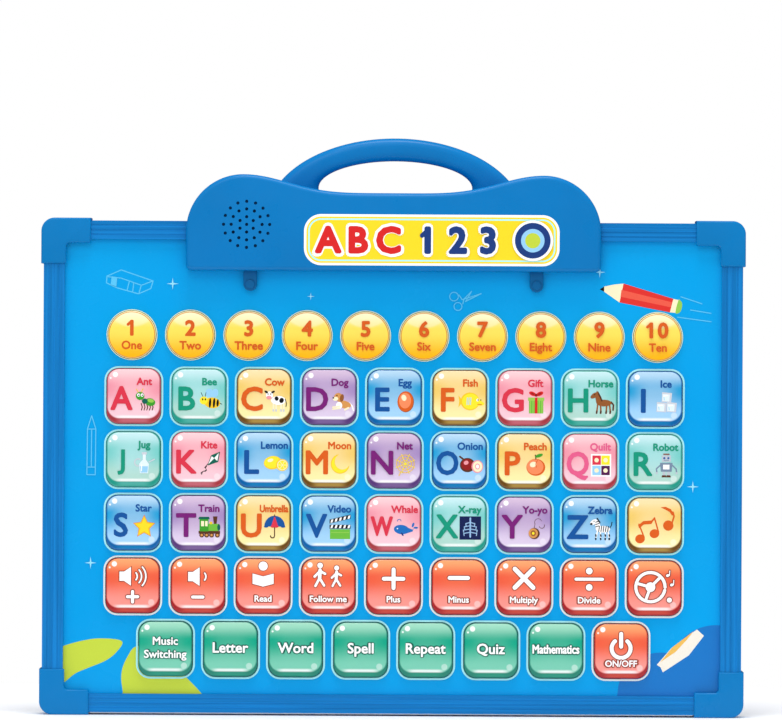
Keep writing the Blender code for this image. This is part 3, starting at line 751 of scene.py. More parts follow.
def draw_dog(art):
    art.line([(0.90, 0.40), (1.02, 0.28), (1.08, 0.10)], 0.06, "white")
    art.oval(0.66, 0.34, 0.32, 0.17, "tan", -12)
    art.oval(0.44, 0.30, 0.14, 0.16, "white", 10)
    for v in (0.14, 0.22):
        art.line([(0.46, v + 0.04), (0.16, v)], 0.07, "cream")
    art.line([(0.86, 0.20), (0.70, 0.12)], 0.08, "cream")
    art.oval(0.40, 0.66, 0.19, 0.18, "tan", 20)
    art.oval(0.28, 0.58, 0.12, 0.09, "cream", 10)
    art.oval(0.56, 0.62, 0.09, 0.17, "brown", -10)
    art.oval(0.18, 0.62, 0.04, 0.035, "black", 0, 8)
    art.oval(0.34, 0.72, 0.03, 0.035, "black", 0, 8)


def draw_egg(art):
    art.oval(0.50, 0.47, 0.37, 0.47, "brown", 0, 28)
    art.oval(0.49, 0.48, 0.35, 0.45, "orange", 0, 28)
    art.oval(0.47, 0.52, 0.27, 0.35, "peach", 0, 24)
    art.oval(0.42, 0.64, 0.11, 0.14, "cream", 20)


def draw_fish(art):
    art.poly([(0.16, 0.50), (-0.06, 0.76), (-0.02, 0.50), (-0.06, 0.24)], "gold")
    art.oval(0.46, 0.50, 0.42, 0.40, "gold", 0, 28)
    art.oval(0.48, 0.50, 0.38, 0.35, "lemon", 0, 28)
    art.poly([(0.78, 0.66), (1.10, 0.42), (1.06, 0.34), (0.78, 0.30)], "lemon")
    for u in (0.34, 0.42, 0.50):
        art.line([(u, 0.66), (u - 0.02, 0.36)], 0.035, "sky")
    art.oval(0.80, 0.56, 0.06, 0.06, "white", 0, 12)
    art.oval(0.82, 0.56, 0.03, 0.035, "black", 0, 8)
    art.oval(0.94, 0.56, 0.025, 0.03, "black", 0, 8)
    art.line([(0.80, 0.38), (0.98, 0.36)], 0.03, "orange")


def draw_gift(art):
    art.poly([(0.18, 0.0), (0.82, 0.0), (0.82, 0.66), (0.18, 0.66)], "grass")
    for u in (0.24, 0.36, 0.64, 0.76):
        art.line([(u, 0.01), (u, 0.64)], 0.05, "lime", rounded=False)
    art.poly([(0.14, 0.54), (0.86, 0.54), (0.86, 0.68), (0.14, 0.68)], "lime")
    art.poly([(0.44, 0.0), (0.56, 0.0), (0.56, 0.68), (0.44, 0.68)], "red")
    for turn, u in ((25, 0.34), (-25, 0.66)):
        art.oval(u, 0.84, 0.17, 0.09, "red", -turn)
        art.oval(u, 0.84, 0.09, 0.035, "maroon", -turn, 12)
    art.oval(0.50, 0.78, 0.07, 0.07, "maroon", 0, 12)


def draw_horse(art):
    for u, foot in ((0.34, 0.30), (0.46, 0.48), (0.74, 0.72), (0.86, 0.90)):
        art.line([(u, 0.42), (foot, 0.10)], 0.07, "brown")
        art.line([(foot, 0.10), (foot - 0.01, 0.03)], 0.08, "dark_brown")
    art.line([(0.94, 0.50), (1.04, 0.38), (1.02, 0.16)], 0.07, "dark_brown")
    art.oval(0.62, 0.46, 0.33, 0.15, "brown")
    art.poly([(0.28, 0.44), (0.20, 0.84), (0.40, 0.88), (0.54, 0.50)], "brown")
    art.line([(0.34, 0.92), (0.46, 0.70), (0.52, 0.56)], 0.07, "dark_brown")
    art.oval(0.18, 0.78, 0.19, 0.10, "brown", 35)
    art.poly([(0.26, 0.88), (0.30, 1.0), (0.36, 0.88)], "brown")
    art.oval(0.20, 0.82, 0.025, 0.03, "black", 0, 8)


def draw_ice(art):
    for u, v in ((0.50, 0.72), (0.27, 0.30), (0.72, 0.30)):
        art.poly([(u - 0.22, v - 0.20), (u + 0.20, v - 0.22), (u + 0.24, v + 0.18),
                  (u - 0.20, v + 0.22)], "shade")
        art.poly([(u - 0.19, v - 0.16), (u + 0.12, v - 0.18), (u + 0.14, v + 0.12),
                  (u - 0.18, v + 0.14)], "ice")
        art.line([(u - 0.12, v + 0.06), (u + 0.04, v + 0.08)], 0.05, "white")
        art.line([(u - 0.10, v - 0.12), (u - 0.12, v)], 0.03, "sky")


def draw_jug(art):
    art.curve(0.22, 0.52, 0.16, 60, 300, 0.05, "shade")
    art.poly([(0.30, 0.06), (0.66, 0.06), (0.70, 0.46), (0.56, 0.64), (0.56, 0.88),
              (0.42, 0.88), (0.42, 0.64), (0.26, 0.46)], "ice")
    art.poly([(0.33, 0.09), (0.63, 0.09), (0.66, 0.36), (0.30, 0.36)], "sky")
    art.poly([(0.38, 0.86), (0.60, 0.86), (0.60, 0.96), (0.38, 0.96)], "shade")
    art.line([(0.38, 0.42), (0.36, 0.16)], 0.04, "white")
    art.line([(0.70, 0.54), (0.94, 0.66)], 0.045, "shade")


def draw_kite(art):
    art.line([(0.42, 0.48), (0.30, 0.34), (0.36, 0.20), (0.18, 0.14), (0.14, 0.02)], 0.03,
             "black")
    for u, v in ((0.32, 0.34), (0.32, 0.18), (0.15, 0.10)):
        art.oval(u, v, 0.07, 0.03, "black", 35, 8)
    art.poly([(0.40, 0.40), (0.56, 0.84), (0.96, 1.0), (0.88, 0.56)], "forest")
    art.poly([(0.44, 0.46), (0.59, 0.80), (0.70, 0.72)], "white")
    art.poly([(0.70, 0.72), (0.90, 0.94), (0.84, 0.60)], "white")


def draw_lemon(art):
    art.oval(0.40, 0.54, 0.40, 0.30, "gold", 8, 24)
    art.oval(0.39, 0.56, 0.36, 0.26, "lemon", 8, 24)
    art.oval(0.30, 0.64, 0.13, 0.07, "cream", 15)
    art.oval(0.82, 0.44, 0.27, 0.27, "gold", 0, 24)
    art.oval(0.83, 0.44, 0.23, 0.23, "cream", 0, 20)
    art.oval(0.83, 0.44, 0.20, 0.20, "lemon", 0, 20)
    for angle in (0, 60, 120):
        reach = math.radians(angle)
        u, v = 0.19 * math.cos(reach), 0.17 * math.sin(reach)
        art.line([(0.83 - u, 0.44 - v), (0.83 + u, 0.44 + v)], 0.02, "cream")


def draw_moon(art):
    outer = arc(0.50, 0.50, 0.42, 100, 350, 18)
    inner = arc(0.60, 0.60, 0.34, 330, 118, 18)
    art.poly(outer + inner, "gold")
    outer = arc(0.50, 0.50, 0.38, 110, 340, 18)
    inner = arc(0.59, 0.59, 0.34, 325, 123, 18)
    art.poly(outer + inner, "lemon")


def draw_net(art):
    for radius in (0.16, 0.28, 0.40):
        art.curve(0.50, 0.52, radius, 0, 360, 0.03, "gold", 16)
    for step in range(8):
        angle = math.radians(22.5 + 45 * step)
        art.line([(0.50, 0.52), (0.50 + 0.46 * math.cos(angle), 0.52 + 0.44 * math.sin(angle))],
                 0.028, "lemon")
    art.line([(0.28, 0.16), (0.22, 0.02)], 0.04, "gold")


def draw_onion(art):
    art.line([(0.16, 0.74), (0.02, 0.84)], 0.08, "dark_brown")
    art.oval(0.36, 0.48, 0.34, 0.32, "dark_brown", 0, 24)
    art.oval(0.34, 0.50, 0.26, 0.25, "maroon", 0, 20)
    art.oval(0.30, 0.58, 0.11, 0.09, "blush", 20)
    art.oval(0.80, 0.42, 0.26, 0.29, "blush", 0, 24)
    art.oval(0.81, 0.42, 0.21, 0.24, "cream", 0, 20)
    art.oval(0.81, 0.42, 0.11, 0.13, "blush", 0, 16)
    art.oval(0.81, 0.42, 0.07, 0.09, "white", 0, 12)


def draw_peach(art):
    art.oval(0.50, 0.40, 0.42, 0.38, "orange", 0, 28)
    art.oval(0.47, 0.42, 0.37, 0.34, "peach", 0, 28)
    art.oval(0.38, 0.52, 0.15, 0.12, "cream", 20)
    art.curve(0.74, 0.52, 0.24, 130, 210, 0.03, "orange")
    art.line([(0.50, 0.76), (0.48, 0.92)], 0.05, "dark_brown")
    art.oval(0.64, 0.90, 0.18, 0.07, "leaf", 18)


def draw_quilt(art):
    corners = ((0.30, 0.72, "crimson"), (0.70, 0.72, "lemon"), (0.30, 0.28, "sky"),
               (0.70, 0.28, "violet"))
    art.poly([(0.05, 0.02), (0.95, 0.02), (0.95, 0.98), (0.05, 0.98)], "white")
    for u, v, colour in corners:
        art.poly([(u - 0.19, v - 0.20), (u + 0.19, v - 0.20), (u + 0.19, v + 0.20),
                  (u - 0.19, v + 0.20)], colour)
        art.oval(u, v, 0.10, 0.10, "cream", 0, 12)


def draw_robot(art):
    for u, hand in ((0.26, 0.06), (0.74, 0.94)):
        art.line([(u, 0.54), (hand, 0.36), (hand + 0.02, 0.22)], 0.06, "steel")
        art.oval(hand + 0.02, 0.18, 0.05, 0.05, "grey", 0, 10)
    for u in (0.40, 0.60):
        art.line([(u, 0.26), (u, 0.08)], 0.12, "grey", rounded=False)
        art.poly([(u - 0.11, 0.0), (u + 0.11, 0.0), (u + 0.08, 0.09), (u - 0.08, 0.09)],
                 "dark_brown")
    art.poly([(0.26, 0.24), (0.74, 0.24), (0.78, 0.62), (0.22, 0.62)], "steel")
    art.poly([(0.36, 0.34), (0.64, 0.34), (0.64, 0.54), (0.36, 0.54)], "white")
    art.poly([(0.30, 0.66), (0.70, 0.66), (0.70, 0.94), (0.30, 0.94)], "grey")
    for u in (0.41, 0.59):
        art.oval(u, 0.82, 0.05, 0.05, "navy", 0, 10)
    art.line([(0.40, 0.73), (0.60, 0.73)], 0.035, "steel")
    art.line([(0.38, 0.99), (0.62, 0.99)], 0.05, "rust")


def draw_star(art):
    for reach, colour in ((0.52, "orange"), (0.48, "gold"), (0.36, "yellow")):
        points = []
        for step in range(10):
            angle = math.radians(90 + 36 * step)
            radius = reach if step % 2 == 0 else reach * 0.5
            points.append((0.50 + radius * math.cos(angle), 0.48 + radius * math.sin(angle)))
        art.poly(points, colour)


def draw_train(art):
    for u in (0.16, 0.38, 0.60, 0.86):
        art.oval(u, 0.14, 0.11, 0.11, "dark_brown", 0, 16)
        art.oval(u, 0.14, 0.055, 0.055, "tan", 0, 10)
    art.poly([(0.02, 0.20), (0.98, 0.20), (0.98, 0.32), (0.02, 0.32)], "dark_brown")
    art.poly([(0.06, 0.30), (0.46, 0.30), (0.46, 0.84), (0.06, 0.84)], "leaf")
    art.poly([(0.13, 0.52), (0.26, 0.52), (0.26, 0.74), (0.13, 0.74)], "cream")
    art.poly([(0.31, 0.52), (0.42, 0.52), (0.42, 0.74), (0.31, 0.74)], "cream")
    art.poly([(0.0, 0.82), (0.52, 0.82), (0.48, 0.92), (0.04, 0.92)], "forest")
    art.poly([(0.46, 0.32), (0.92, 0.32), (0.92, 0.62), (0.46, 0.62)], "grass")
    art.oval(0.92, 0.47, 0.07, 0.15, "forest", 0, 14)
    art.poly([(0.70, 0.62), (0.82, 0.62), (0.86, 0.94), (0.66, 0.94)], "dark_brown")
    art.oval(0.57, 0.66, 0.07, 0.06, "gold", 0, 12)


def draw_umbrella(art):
    art.line([(0.50, 0.60), (0.50, 0.12)], 0.05, "dark_brown")
    art.curve(0.41, 0.12, 0.09, 180, 360, 0.05, "dark_brown", 8)
    art.poly(arc(0.50, 0.52, 0.46, 0, 180, 20), "navy")
    art.poly([(0.34, 0.52), (0.50, 0.97), (0.66, 0.52)], "crimson")
    for u in (0.12, 0.42, 0.58, 0.88):
        art.oval(u, 0.52, 0.10, 0.05, "navy" if u in (0.12, 0.88) else "crimson", 0, 12)
    art.line([(0.50, 0.95), (0.50, 1.02)], 0.04, "dark_brown")


def draw_video(art):
    art.poly([(0.06, 0.0), (0.96, 0.0), (0.96, 0.42), (0.06, 0.42)], "grass")
    art.line([(0.10, 0.28), (0.92, 0.28)], 0.03, "lime", rounded=False)
    for low, lean in ((0.44, 0.0), (0.66, 0.22)):
        art.poly([(0.04, low), (0.98, low + lean), (0.98, low + lean + 0.17),
                  (0.04, low + 0.17)], "black")
        for step in range(5):
            left = 0.08 + step * 0.19
            rise = lean * left
            art.poly([(left, low + rise + 0.02), (left + 0.09, low + rise + 0.03),
                      (left + 0.13, low + rise + 0.17), (left + 0.04, low + rise + 0.15)],
                     "white")


def draw_whale(art):
    art.oval(0.34, 0.42, 0.34, 0.21, "whale", -6, 24)
    art.poly([(0.50, 0.54), (0.84, 0.42), (0.90, 0.52), (0.84, 0.34), (0.52, 0.24)], "whale")
    art.oval(0.86, 0.62, 0.11, 0.05, "whale", 70)
    art.oval(0.98, 0.50, 0.10, 0.045, "whale", 0)
    art.oval(0.38, 0.22, 0.09, 0.04, "badge", -60)
    art.curve(0.24, 0.78, 0.08, 0, 180, 0.03, "whale", 8)
    art.oval(0.16, 0.46, 0.03, 0.03, "white", 0, 8)


def draw_xray(art):
    art.poly([(0.02, 0.0), (0.98, 0.0), (0.98, 1.0), (0.02, 1.0)], "night")
    art.line([(0.50, 0.12), (0.50, 0.92)], 0.07, "xray")
    for v, reach in ((0.74, 0.20), (0.60, 0.27), (0.46, 0.31), (0.32, 0.29)):
        for side in (-1, 1):
            art.line([(0.50, v), (0.50 + side * reach, v - 0.05),
                      (0.50 + side * reach * 0.94, v - 0.14)], 0.04, "xray")


def draw_yoyo(art):
    art.curve(0.62, 0.76, 0.16, 20, 200, 0.022, "dark_brown", 10)
    art.curve(0.78, 0.62, 0.12, 200, 380, 0.022, "dark_brown", 10)
    art.line([(0.48, 0.70), (0.44, 0.50)], 0.022, "dark_brown")
    art.oval(0.44, 0.28, 0.25, 0.25, "dark_brown", 0, 24)
    art.oval(0.40, 0.29, 0.21, 0.22, "tan", 0, 20)
    art.oval(0.40, 0.29, 0.12, 0.13, "brown", 0, 16)
    art.oval(0.40, 0.29, 0.06, 0.065, "lemon", 0, 12)


def draw_zebra(art):
    for u, foot in ((0.36, 0.28), (0.48, 0.50), (0.72, 0.70), (0.82, 0.88)):
        art.line([(u, 0.42), (foot, 0.08)], 0.06, "white")
        art.line([(foot, 0.24), (foot + 0.01, 0.18)], 0.065, "black")
        art.line([(foot, 0.09), (foot, 0.04)], 0.07, "black")
    art.line([(0.90, 0.52), (0.98, 0.66), (1.0, 0.78)], 0.035, "black")
    art.oval(0.60, 0.48, 0.32, 0.15, "white")
    art.poly([(0.28, 0.46), (0.22, 0.84), (0.40, 0.86), (0.52, 0.52)], "white")
    art.oval(0.18, 0.78, 0.18, 0.10, "white", 35)
    art.oval(0.08, 0.70, 0.06, 0.05, "black", 0, 10)
    for u in (0.44, 0.54, 0.64, 0.74, 0.84):
        art.line([(u, 0.60), (u - 0.03, 0.38)], 0.04, "black")
    for v in (0.56, 0.66, 0.76):
        art.line([(0.27, v + 0.02), (0.42, v + 0.06)], 0.035, "black")
    art.line([(0.34, 0.94), (0.46, 0.76)], 0.05, "black")
    art.oval(0.20, 0.82, 0.025, 0.03, "black", 0, 8)


def draw_notes(art):
    """A beamed pair of notes and a single one."""
    art.oval(0.245, 0.27, 0.085, 0.078, "orange", 15)
    art.oval(0.495, 0.36, 0.085, 0.078, "orange", 15)
    art.line([(0.315, 0.30), (0.225, 0.52)], 0.026, "orange")
    art.line([(0.565, 0.39), (0.495, 0.63)], 0.026, "orange")
    art.poly([(0.21, 0.50), (0.30, 0.575), (0.44, 0.585), (0.50, 0.65), (0.49, 0.60),
              (0.44, 0.525), (0.31, 0.515), (0.23, 0.45)], "orange")
    art.oval(0.735, 0.50, 0.090, 0.090, "orange", 15)
    art.line([(0.80, 0.54), (0.835, 0.66), (0.815, 0.73)], 0.028, "orange")
    art.poly([(0.83, 0.69), (0.78, 0.78), (0.69, 0.82), (0.60, 0.81), (0.68, 0.775),
              (0.76, 0.73), (0.80, 0.67)], "orange")


LETTER_KEYS = {
    "a": ("Ant", "crimson", draw_ant), "b": ("Bee", "teal", draw_bee),
    "c": ("Cow", "orange", draw_cow), "d": ("Dog", "purple", draw_dog),
    "e": ("Egg", "navy", draw_egg), "f": ("Fish", "orange", draw_fish),
    "g": ("Gift", "crimson", draw_gift), "h": ("Horse", "teal", draw_horse),
    "i": ("Ice", "navy", draw_ice), "j": ("Jug", "teal", draw_jug),
    "k": ("Kite", "crimson", draw_kite), "l": ("Lemon", "navy", draw_lemon),
    "m": ("Moon", "orange", draw_moon), "n": ("Net", "purple", draw_net),
    "o": ("Onion", "navy", draw_onion), "p": ("Peach", "orange", draw_peach),
    "q": ("Quilt", "pink", draw_quilt), "r": ("Robot", "teal", draw_robot),
    "s": ("Star", "navy", draw_star), "t": ("Train", "purple", draw_train),
    "u": ("Umbrella", "orange", draw_umbrella), "v": ("Video", "navy", draw_video),
    "w": ("Whale", "crimson", draw_whale), "x": ("X-ray", "teal", draw_xray),
    "y": ("Yo-yo", "purple", draw_yoyo), "z": ("Zebra", "navy", draw_zebra),
}


# ---------------------------------------------------------------- pictures on the symbol keys

def draw_speaker(art, colour, grow, arcs, sign):
    """A loudspeaker with sound arcs, over a plus or a minus."""
    u = 0.27 if arcs > 1 else 0.33
    art.poly([(u - grow, 0.58 - grow), (u + 0.08, 0.58 - grow), (u + 0.20 + grow, 0.50 - grow),
              (u + 0.20 + grow, 0.82 + grow), (u + 0.08, 0.74 + grow), (u - grow, 0.74 + grow)],
             colour)
    for step in range(arcs):
        art.curve(u + 0.22, 0.66, 0.09 + 0.075 * step, -42, 42, 0.028 + 2 * grow, colour, 8)
    art.line([(0.41, 0.31), (0.59, 0.31)], 0.055 + 2 * grow, colour)
    if sign == "plus":
        art.line([(0.50, 0.22), (0.50, 0.40)], 0.055 + 2 * grow, colour)


def draw_volume_up(art, colour, grow):
    draw_speaker(art, colour, grow, 3, "plus")


def draw_volume_down(art, colour, grow):
    draw_speaker(art, colour, grow, 1, "minus")


def draw_reader(art, colour, grow):
    """A head over an open book."""
    art.oval(0.50, 0.82, 0.10 + grow, 0.10 + grow, colour)
    art.poly([(0.27 - grow, 0.44 - grow), (0.50, 0.38 - grow), (0.73 + grow, 0.44 - grow),
              (0.73 + grow, 0.66 + grow), (0.50, 0.60 + grow), (0.27 - grow, 0.66 + grow)],
             colour)


def draw_walkers(art, colour, grow):
    """Two plain figures, one after the other."""
    for u, size in ((0.32, 1.0), (0.68, 0.88)):
        foot = 0.40
        art.oval(u, foot + 0.44 * size, 0.062 * size + grow, 0.062 * size + grow, colour)
        stroke = 0.055 * size + 2 * grow
        art.line([(u, foot + 0.34 * size), (u - 0.01, foot + 0.17 * size)], stroke * 1.4, colour)
        art.line([(u - 0.12 * size, foot + 0.20 * size), (u, foot + 0.32 * size),
                  (u + 0.11 * size, foot + 0.26 * size)], stroke, colour)
        art.line([(u - 0.10 * size, foot), (u - 0.01, foot + 0.17 * size),
                  (u + 0.09 * size, foot + 0.01)], stroke, colour)


def draw_plus(art, colour, grow):
    art.line([(0.33, 0.64), (0.67, 0.64)], 0.07 + 2 * grow, colour)
    art.line([(0.50, 0.48), (0.50, 0.80)], 0.07 + 2 * grow, colour)


def draw_minus(art, colour, grow):
    art.line([(0.34, 0.66), (0.66, 0.66)], 0.07 + 2 * grow, colour)


def draw_times(art, colour, grow):
    art.line([(0.34, 0.50), (0.66, 0.82)], 0.08 + 2 * grow, colour)
    art.line([(0.34, 0.82), (0.66, 0.50)], 0.08 + 2 * grow, colour)


def draw_divide(art, colour, grow):
    art.line([(0.27, 0.65), (0.73, 0.65)], 0.055 + 2 * grow, colour)
    for v in (0.79, 0.51):
        art.oval(0.50, v, 0.058 + grow, 0.058 + grow, colour)


def draw_game(art, colour, grow):
    """A steering ring with three spokes, and small notes beside it."""
    art.curve(0.43, 0.52, 0.255, 0, 348, 0.055 + 2 * grow, colour, 28)
    for angle in (45, 165, 250):
        reach = math.radians(angle)
        art.line([(0.43, 0.52), (0.43 + 0.25 * math.cos(reach), 0.52 + 0.25 * math.sin(reach))],
                 0.05 + 2 * grow, colour)
    art.oval(0.43, 0.52, 0.085 + grow, 0.085 + grow, colour)
    for u, v in ((0.73, 0.72), (0.80, 0.56)):
        art.oval(u, v, 0.032 + grow, 0.025 + grow, colour, 20, 10)
        art.line([(u + 0.03, v), (u + 0.035, v + 0.08)], 0.016 + 2 * grow, colour)
    for u, v, size in ((0.62, 0.36, 0.028), (0.76, 0.30, 0.045)):
        art.oval(u, v, size + grow, size + grow, colour, 0, 12)


def draw_power(art, colour, grow):
    art.curve(0.50, 0.55, 0.165, 130, 410, 0.07 + 2 * grow, colour, 20)
    art.line([(0.50, 0.58), (0.50, 0.80)], 0.07 + 2 * grow, colour)


SYMBOL_KEYS = {
    "volume_up": (draw_volume_up, ""), "volume_down": (draw_volume_down, ""),
    "read": (draw_reader, "Read"), "follow_me": (draw_walkers, "Follow me"),
    "plus": (draw_plus, "Plus"), "minus": (draw_minus, "Minus"),
    "times": (draw_times, "Multiply"), "divide": (draw_divide, "Divide"),
    "game": (draw_game, ""), "power": (draw_power, "ON/OFF"),
}
FUNCTION_KEYS = {
    "music_switching": ("Music", "Switching"), "letter": ("Letter",), "word": ("Word",),
    "spell": ("Spell",), "repeat": ("Repeat",), "quiz": ("Quiz",), "maths": ("Mathematics",),
}
NUMBER_WORDS = ("One", "Two", "Three", "Four", "Five", "Six", "Seven", "Eight", "Nine", "Ten")


# ---------------------------------------------------------------- keys

def outlined_text(art, words, v, wide, high):
    """White words with a dark edge."""
    art.text(words, 0.5, v, wide + 0.025, high * 1.2, "forest", 0.13)
    art.text(words, 0.5, v, wide, high, "white", 0.035)


def square_keys():
    """Every square key's node, with the middle of its face."""
    for node in NODES:
        if node.startswith("key_") and node != "key_panel":
            low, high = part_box(node)
            yield node, (low.x + high.x) / 2, (low.z + high.z) / 2


def disc_places():
    """The middle of every number disc's face, from the left."""
    low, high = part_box("number_key_strip")
    for index in range(len(NUMBER_WORDS)):
        yield KEYS_X + (index - 4.5) * DISC_PITCH, (low.z + high.z) / 2


def key_outline(x, z, grow, steps):
    """A square key's outline, grown all round."""
    return rounded_box(x, z, KEY_WIDE / 2 + grow, KEY_HIGH / 2 + grow, KEY_CORNER + grow, steps)


def disc_outline(x, z, radius):
    """A disc's outline."""
    return arc(x, z, radius, 0, 360 - 360 / ROUND_STEPS, ROUND_STEPS - 1)


def print_key(name, art):
    """Everything inked on one square key."""
    if name in LETTER_KEYS:
        word, colour, draw = LETTER_KEYS[name]
        draw(art.within(0.695, 0.44, 0.39, 0.40))
        art.text(word, 0.685, 0.755, 0.50, 0.128, colour, 0.045)
        lift, high = (0.04, 0.33) if name == "j" else (0.0, 0.41)
        art.text(name.upper(), 0.29, 0.465 + lift, 0.39, high, colour, 0.036)
    elif name == "music":
        draw_notes(art)
    elif name in SYMBOL_KEYS:
        draw, word = SYMBOL_KEYS[name]
        spot = art.within(0.5, 0.59, 0.80, 0.80) if word in ("Read", "Follow me") else art
        draw(spot, "rust", 0.014)
        draw(spot, "white", 0.0)
        if word:
            art.text(word, 0.5, 0.29, 0.80, 0.145, "rust", 0.13)
            art.text(word, 0.5, 0.29, 0.76, 0.112, "white", 0.04)
    elif name in FUNCTION_KEYS:
        words = FUNCTION_KEYS[name]
        if len(words) == 2:
            outlined_text(art, words[0], 0.64, 0.82, 0.14)
            outlined_text(art, words[1], 0.415, 0.82, 0.14)
        else:
            outlined_text(art, words[0], 0.53, 0.82, 0.18)


def map_face(piece, x, z, wide, high):
    """A 0 to 1 square over the key's face, as its UV map."""
    layer = piece.data.uv_layers.get("UVMap") or piece.data.uv_layers.new(name="UVMap")
    for loop in piece.data.loops:
        place = piece.data.vertices[loop.vertex_index].co
        layer.data[loop.index].uv = ((place.x - x) / wide + 0.5, (place.z - z) / high + 0.5)


def key_cap():
    """One square key about the origin: a pillowed cap with a flange behind the panel."""
    cap = plate("key", key_outline(0, 0, 0, 10), KEY_FACE, FLANGE_BACK - FLANGE_THICK)
    soften_face_edge(cap, KEY_FACE, 0.95 * MM, 5)
    cut(cap, plate("flange", key_outline(0, 0, FLANGE_EXTRA, 10), FLANGE_BACK - FLANGE_THICK,
                   FLANGE_BACK), "UNION")
    smooth(cap, 40)
    return cap


def make_square_keys(candy, ink):
    """The 44 square keys, each with its own print."""
    blank = key_cap()
    for node, x, z in square_keys():
        art = Print(x, z, UV_WIDE, UV_HIGH, KEY_FACE)
        print_key(node.removeprefix("key_"), art)
        key = blank.copy()
        key.data = blank.data.copy()
        bpy.context.scene.collection.objects.link(key)
        for vertex in key.data.vertices:
            vertex.co.x += x
            vertex.co.z += z
        map_face(key, x, z, UV_WIDE, UV_HIGH)
        materials = [candy[SLOT_OF[node]], ink]
        key = print_on("printed_" + node, key, [art], materials)
        finish(key, node, SLOT_OF[node], materials, node)
    bpy.data.objects.remove(blank, do_unlink=True)


def print_number(face, number):
    """A number on its disc; a one gets a flag, so that it can't be read as a letter."""
    for digit, u in zip(str(number), (0.5,) if number < 10 else (0.37, 0.60)):
        face.text(digit, u, 0.635, 0.4, 0.31, "amber", 0.05)
        if digit == "1":
            face.line([(u, 0.765), (u - 0.075, 0.70)], 0.055, "amber")


def make_number_keys(material, ink):
    """Ten round keys on their shared bar."""
    low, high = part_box("number_key_strip")
    z = (low.z + high.z) / 2
    bar = plate("bar", rounded_box(KEYS_X, z, (high.x - low.x) / 2,
                                   (high.z - low.z) / 2, 6 * MM, 6),
                FLANGE_BACK - FLANGE_THICK, FLANGE_BACK)
    art = Print(0, z, 1.0, 1.0, KEY_FACE)
    parts = []
    for number, ((x, z), word) in enumerate(zip(disc_places(), NUMBER_WORDS), 1):
        disc = plate("disc", disc_outline(x, z, DISC_R), KEY_FACE, FLANGE_BACK - FLANGE_THICK)
        soften_face_edge(disc, KEY_FACE, 0.9 * MM, 5)
        map_face(disc, x, z, UV_DISC, UV_DISC)
        parts.append(disc)
        face = Print(x, z, UV_DISC, UV_DISC, KEY_FACE)
        print_number(face, number)
        face.text(word, 0.5, 0.30, 0.74, 0.165, "amber", 0.035)
        art.shapes += face.shapes
    discs = join("discs", parts)
    map_face(bar, 0.0, z, 1.0, 1.0)
    cut(bar, discs, "UNION")
    smooth(bar, 40)
    keys = print_on("printed_number_keys", bar, [art], [material, ink])
    finish(keys, "number_keys", "key_amber", [material, ink], "number_key_strip")


# ---------------------------------------------------------------- panel

def band(outer, inner):
    """The flat strip between two outlines of equal length."""
    count = len(outer)
    return [[outer[i], outer[(i + 1) % count], inner[(i + 1) % count], inner[i]]
            for i in range(count)]


def print_rings(art):
    """A pale ring on the panel round every key."""
    for node, x, z in square_keys():
        ring = band(key_outline(x, z, RING_GROW, 8), key_outline(x, z, HOLE_GAP, 8))
        warm = SLOT_OF[node] == "key_red"
        art.shapes.append((ring, INK["ring_warm" if warm else "ring"]))
    for x, z in disc_places():
        ring = band(disc_outline(x, z, DISC_RING_R), disc_outline(x, z, DISC_R + HOLE_GAP))
        art.shapes.append((ring, INK["ring_disc"]))


def sparkle(art, x, z, reach):
    """A four-pointed twinkle."""
    points = []
    for step in range(8):
        angle = math.radians(45 * step)
        radius = reach if step % 2 == 0 else reach * 0.2
        points.append((x + radius * math.cos(angle), z + radius * math.sin(angle)))
    art.poly(points, "sparkle")


LEAF_LEFT = [(-179.5, 32.0), (-176.0, 34.0), (-172.3, 36.0), (-162.3, 38.8), (-152.7, 40.0),
             (-141.7, 38.6), (-144.7, 32.7), (-150.5, 28.2), (-159.3, 24.5), (-165.9, 21.6),
             (-171.1, 17.5), (-176.0, 14.0), (-179.5, 12.0)]
LEAF_RIGHT = [(-141.1, 5.0), (-141.1, 11.7), (-142.0, 18.7), (-141.3, 24.6), (-138.7, 30.5),
              (-134.7, 35.7), (-126.0, 36.0), (-118.0, 30.0), (-112.0, 24.0), (-107.8, 19.7),
              (-104.1, 16.0), (-100.4, 12.0), (-97.5, 8.0), (-96.0, 5.0)]


def curved(points, steps=5):
    """A smooth closed outline through the places given."""
    count = len(points)
    made = []
    for index in range(count):
        p0, p1 = points[index - 1], points[index]
        p2, p3 = points[(index + 1) % count], points[(index + 2) % count]
        for step in range(steps):
            t = step / steps
            made.append(tuple(
                0.5 * (2 * b + (c - a) * t + (2 * a - 5 * b + 4 * c - d) * t * t
                       + (3 * b - a - 3 * c + d) * t ** 3)
                for a, b, c, d in zip(p0, p1, p2, p3)))
    return made


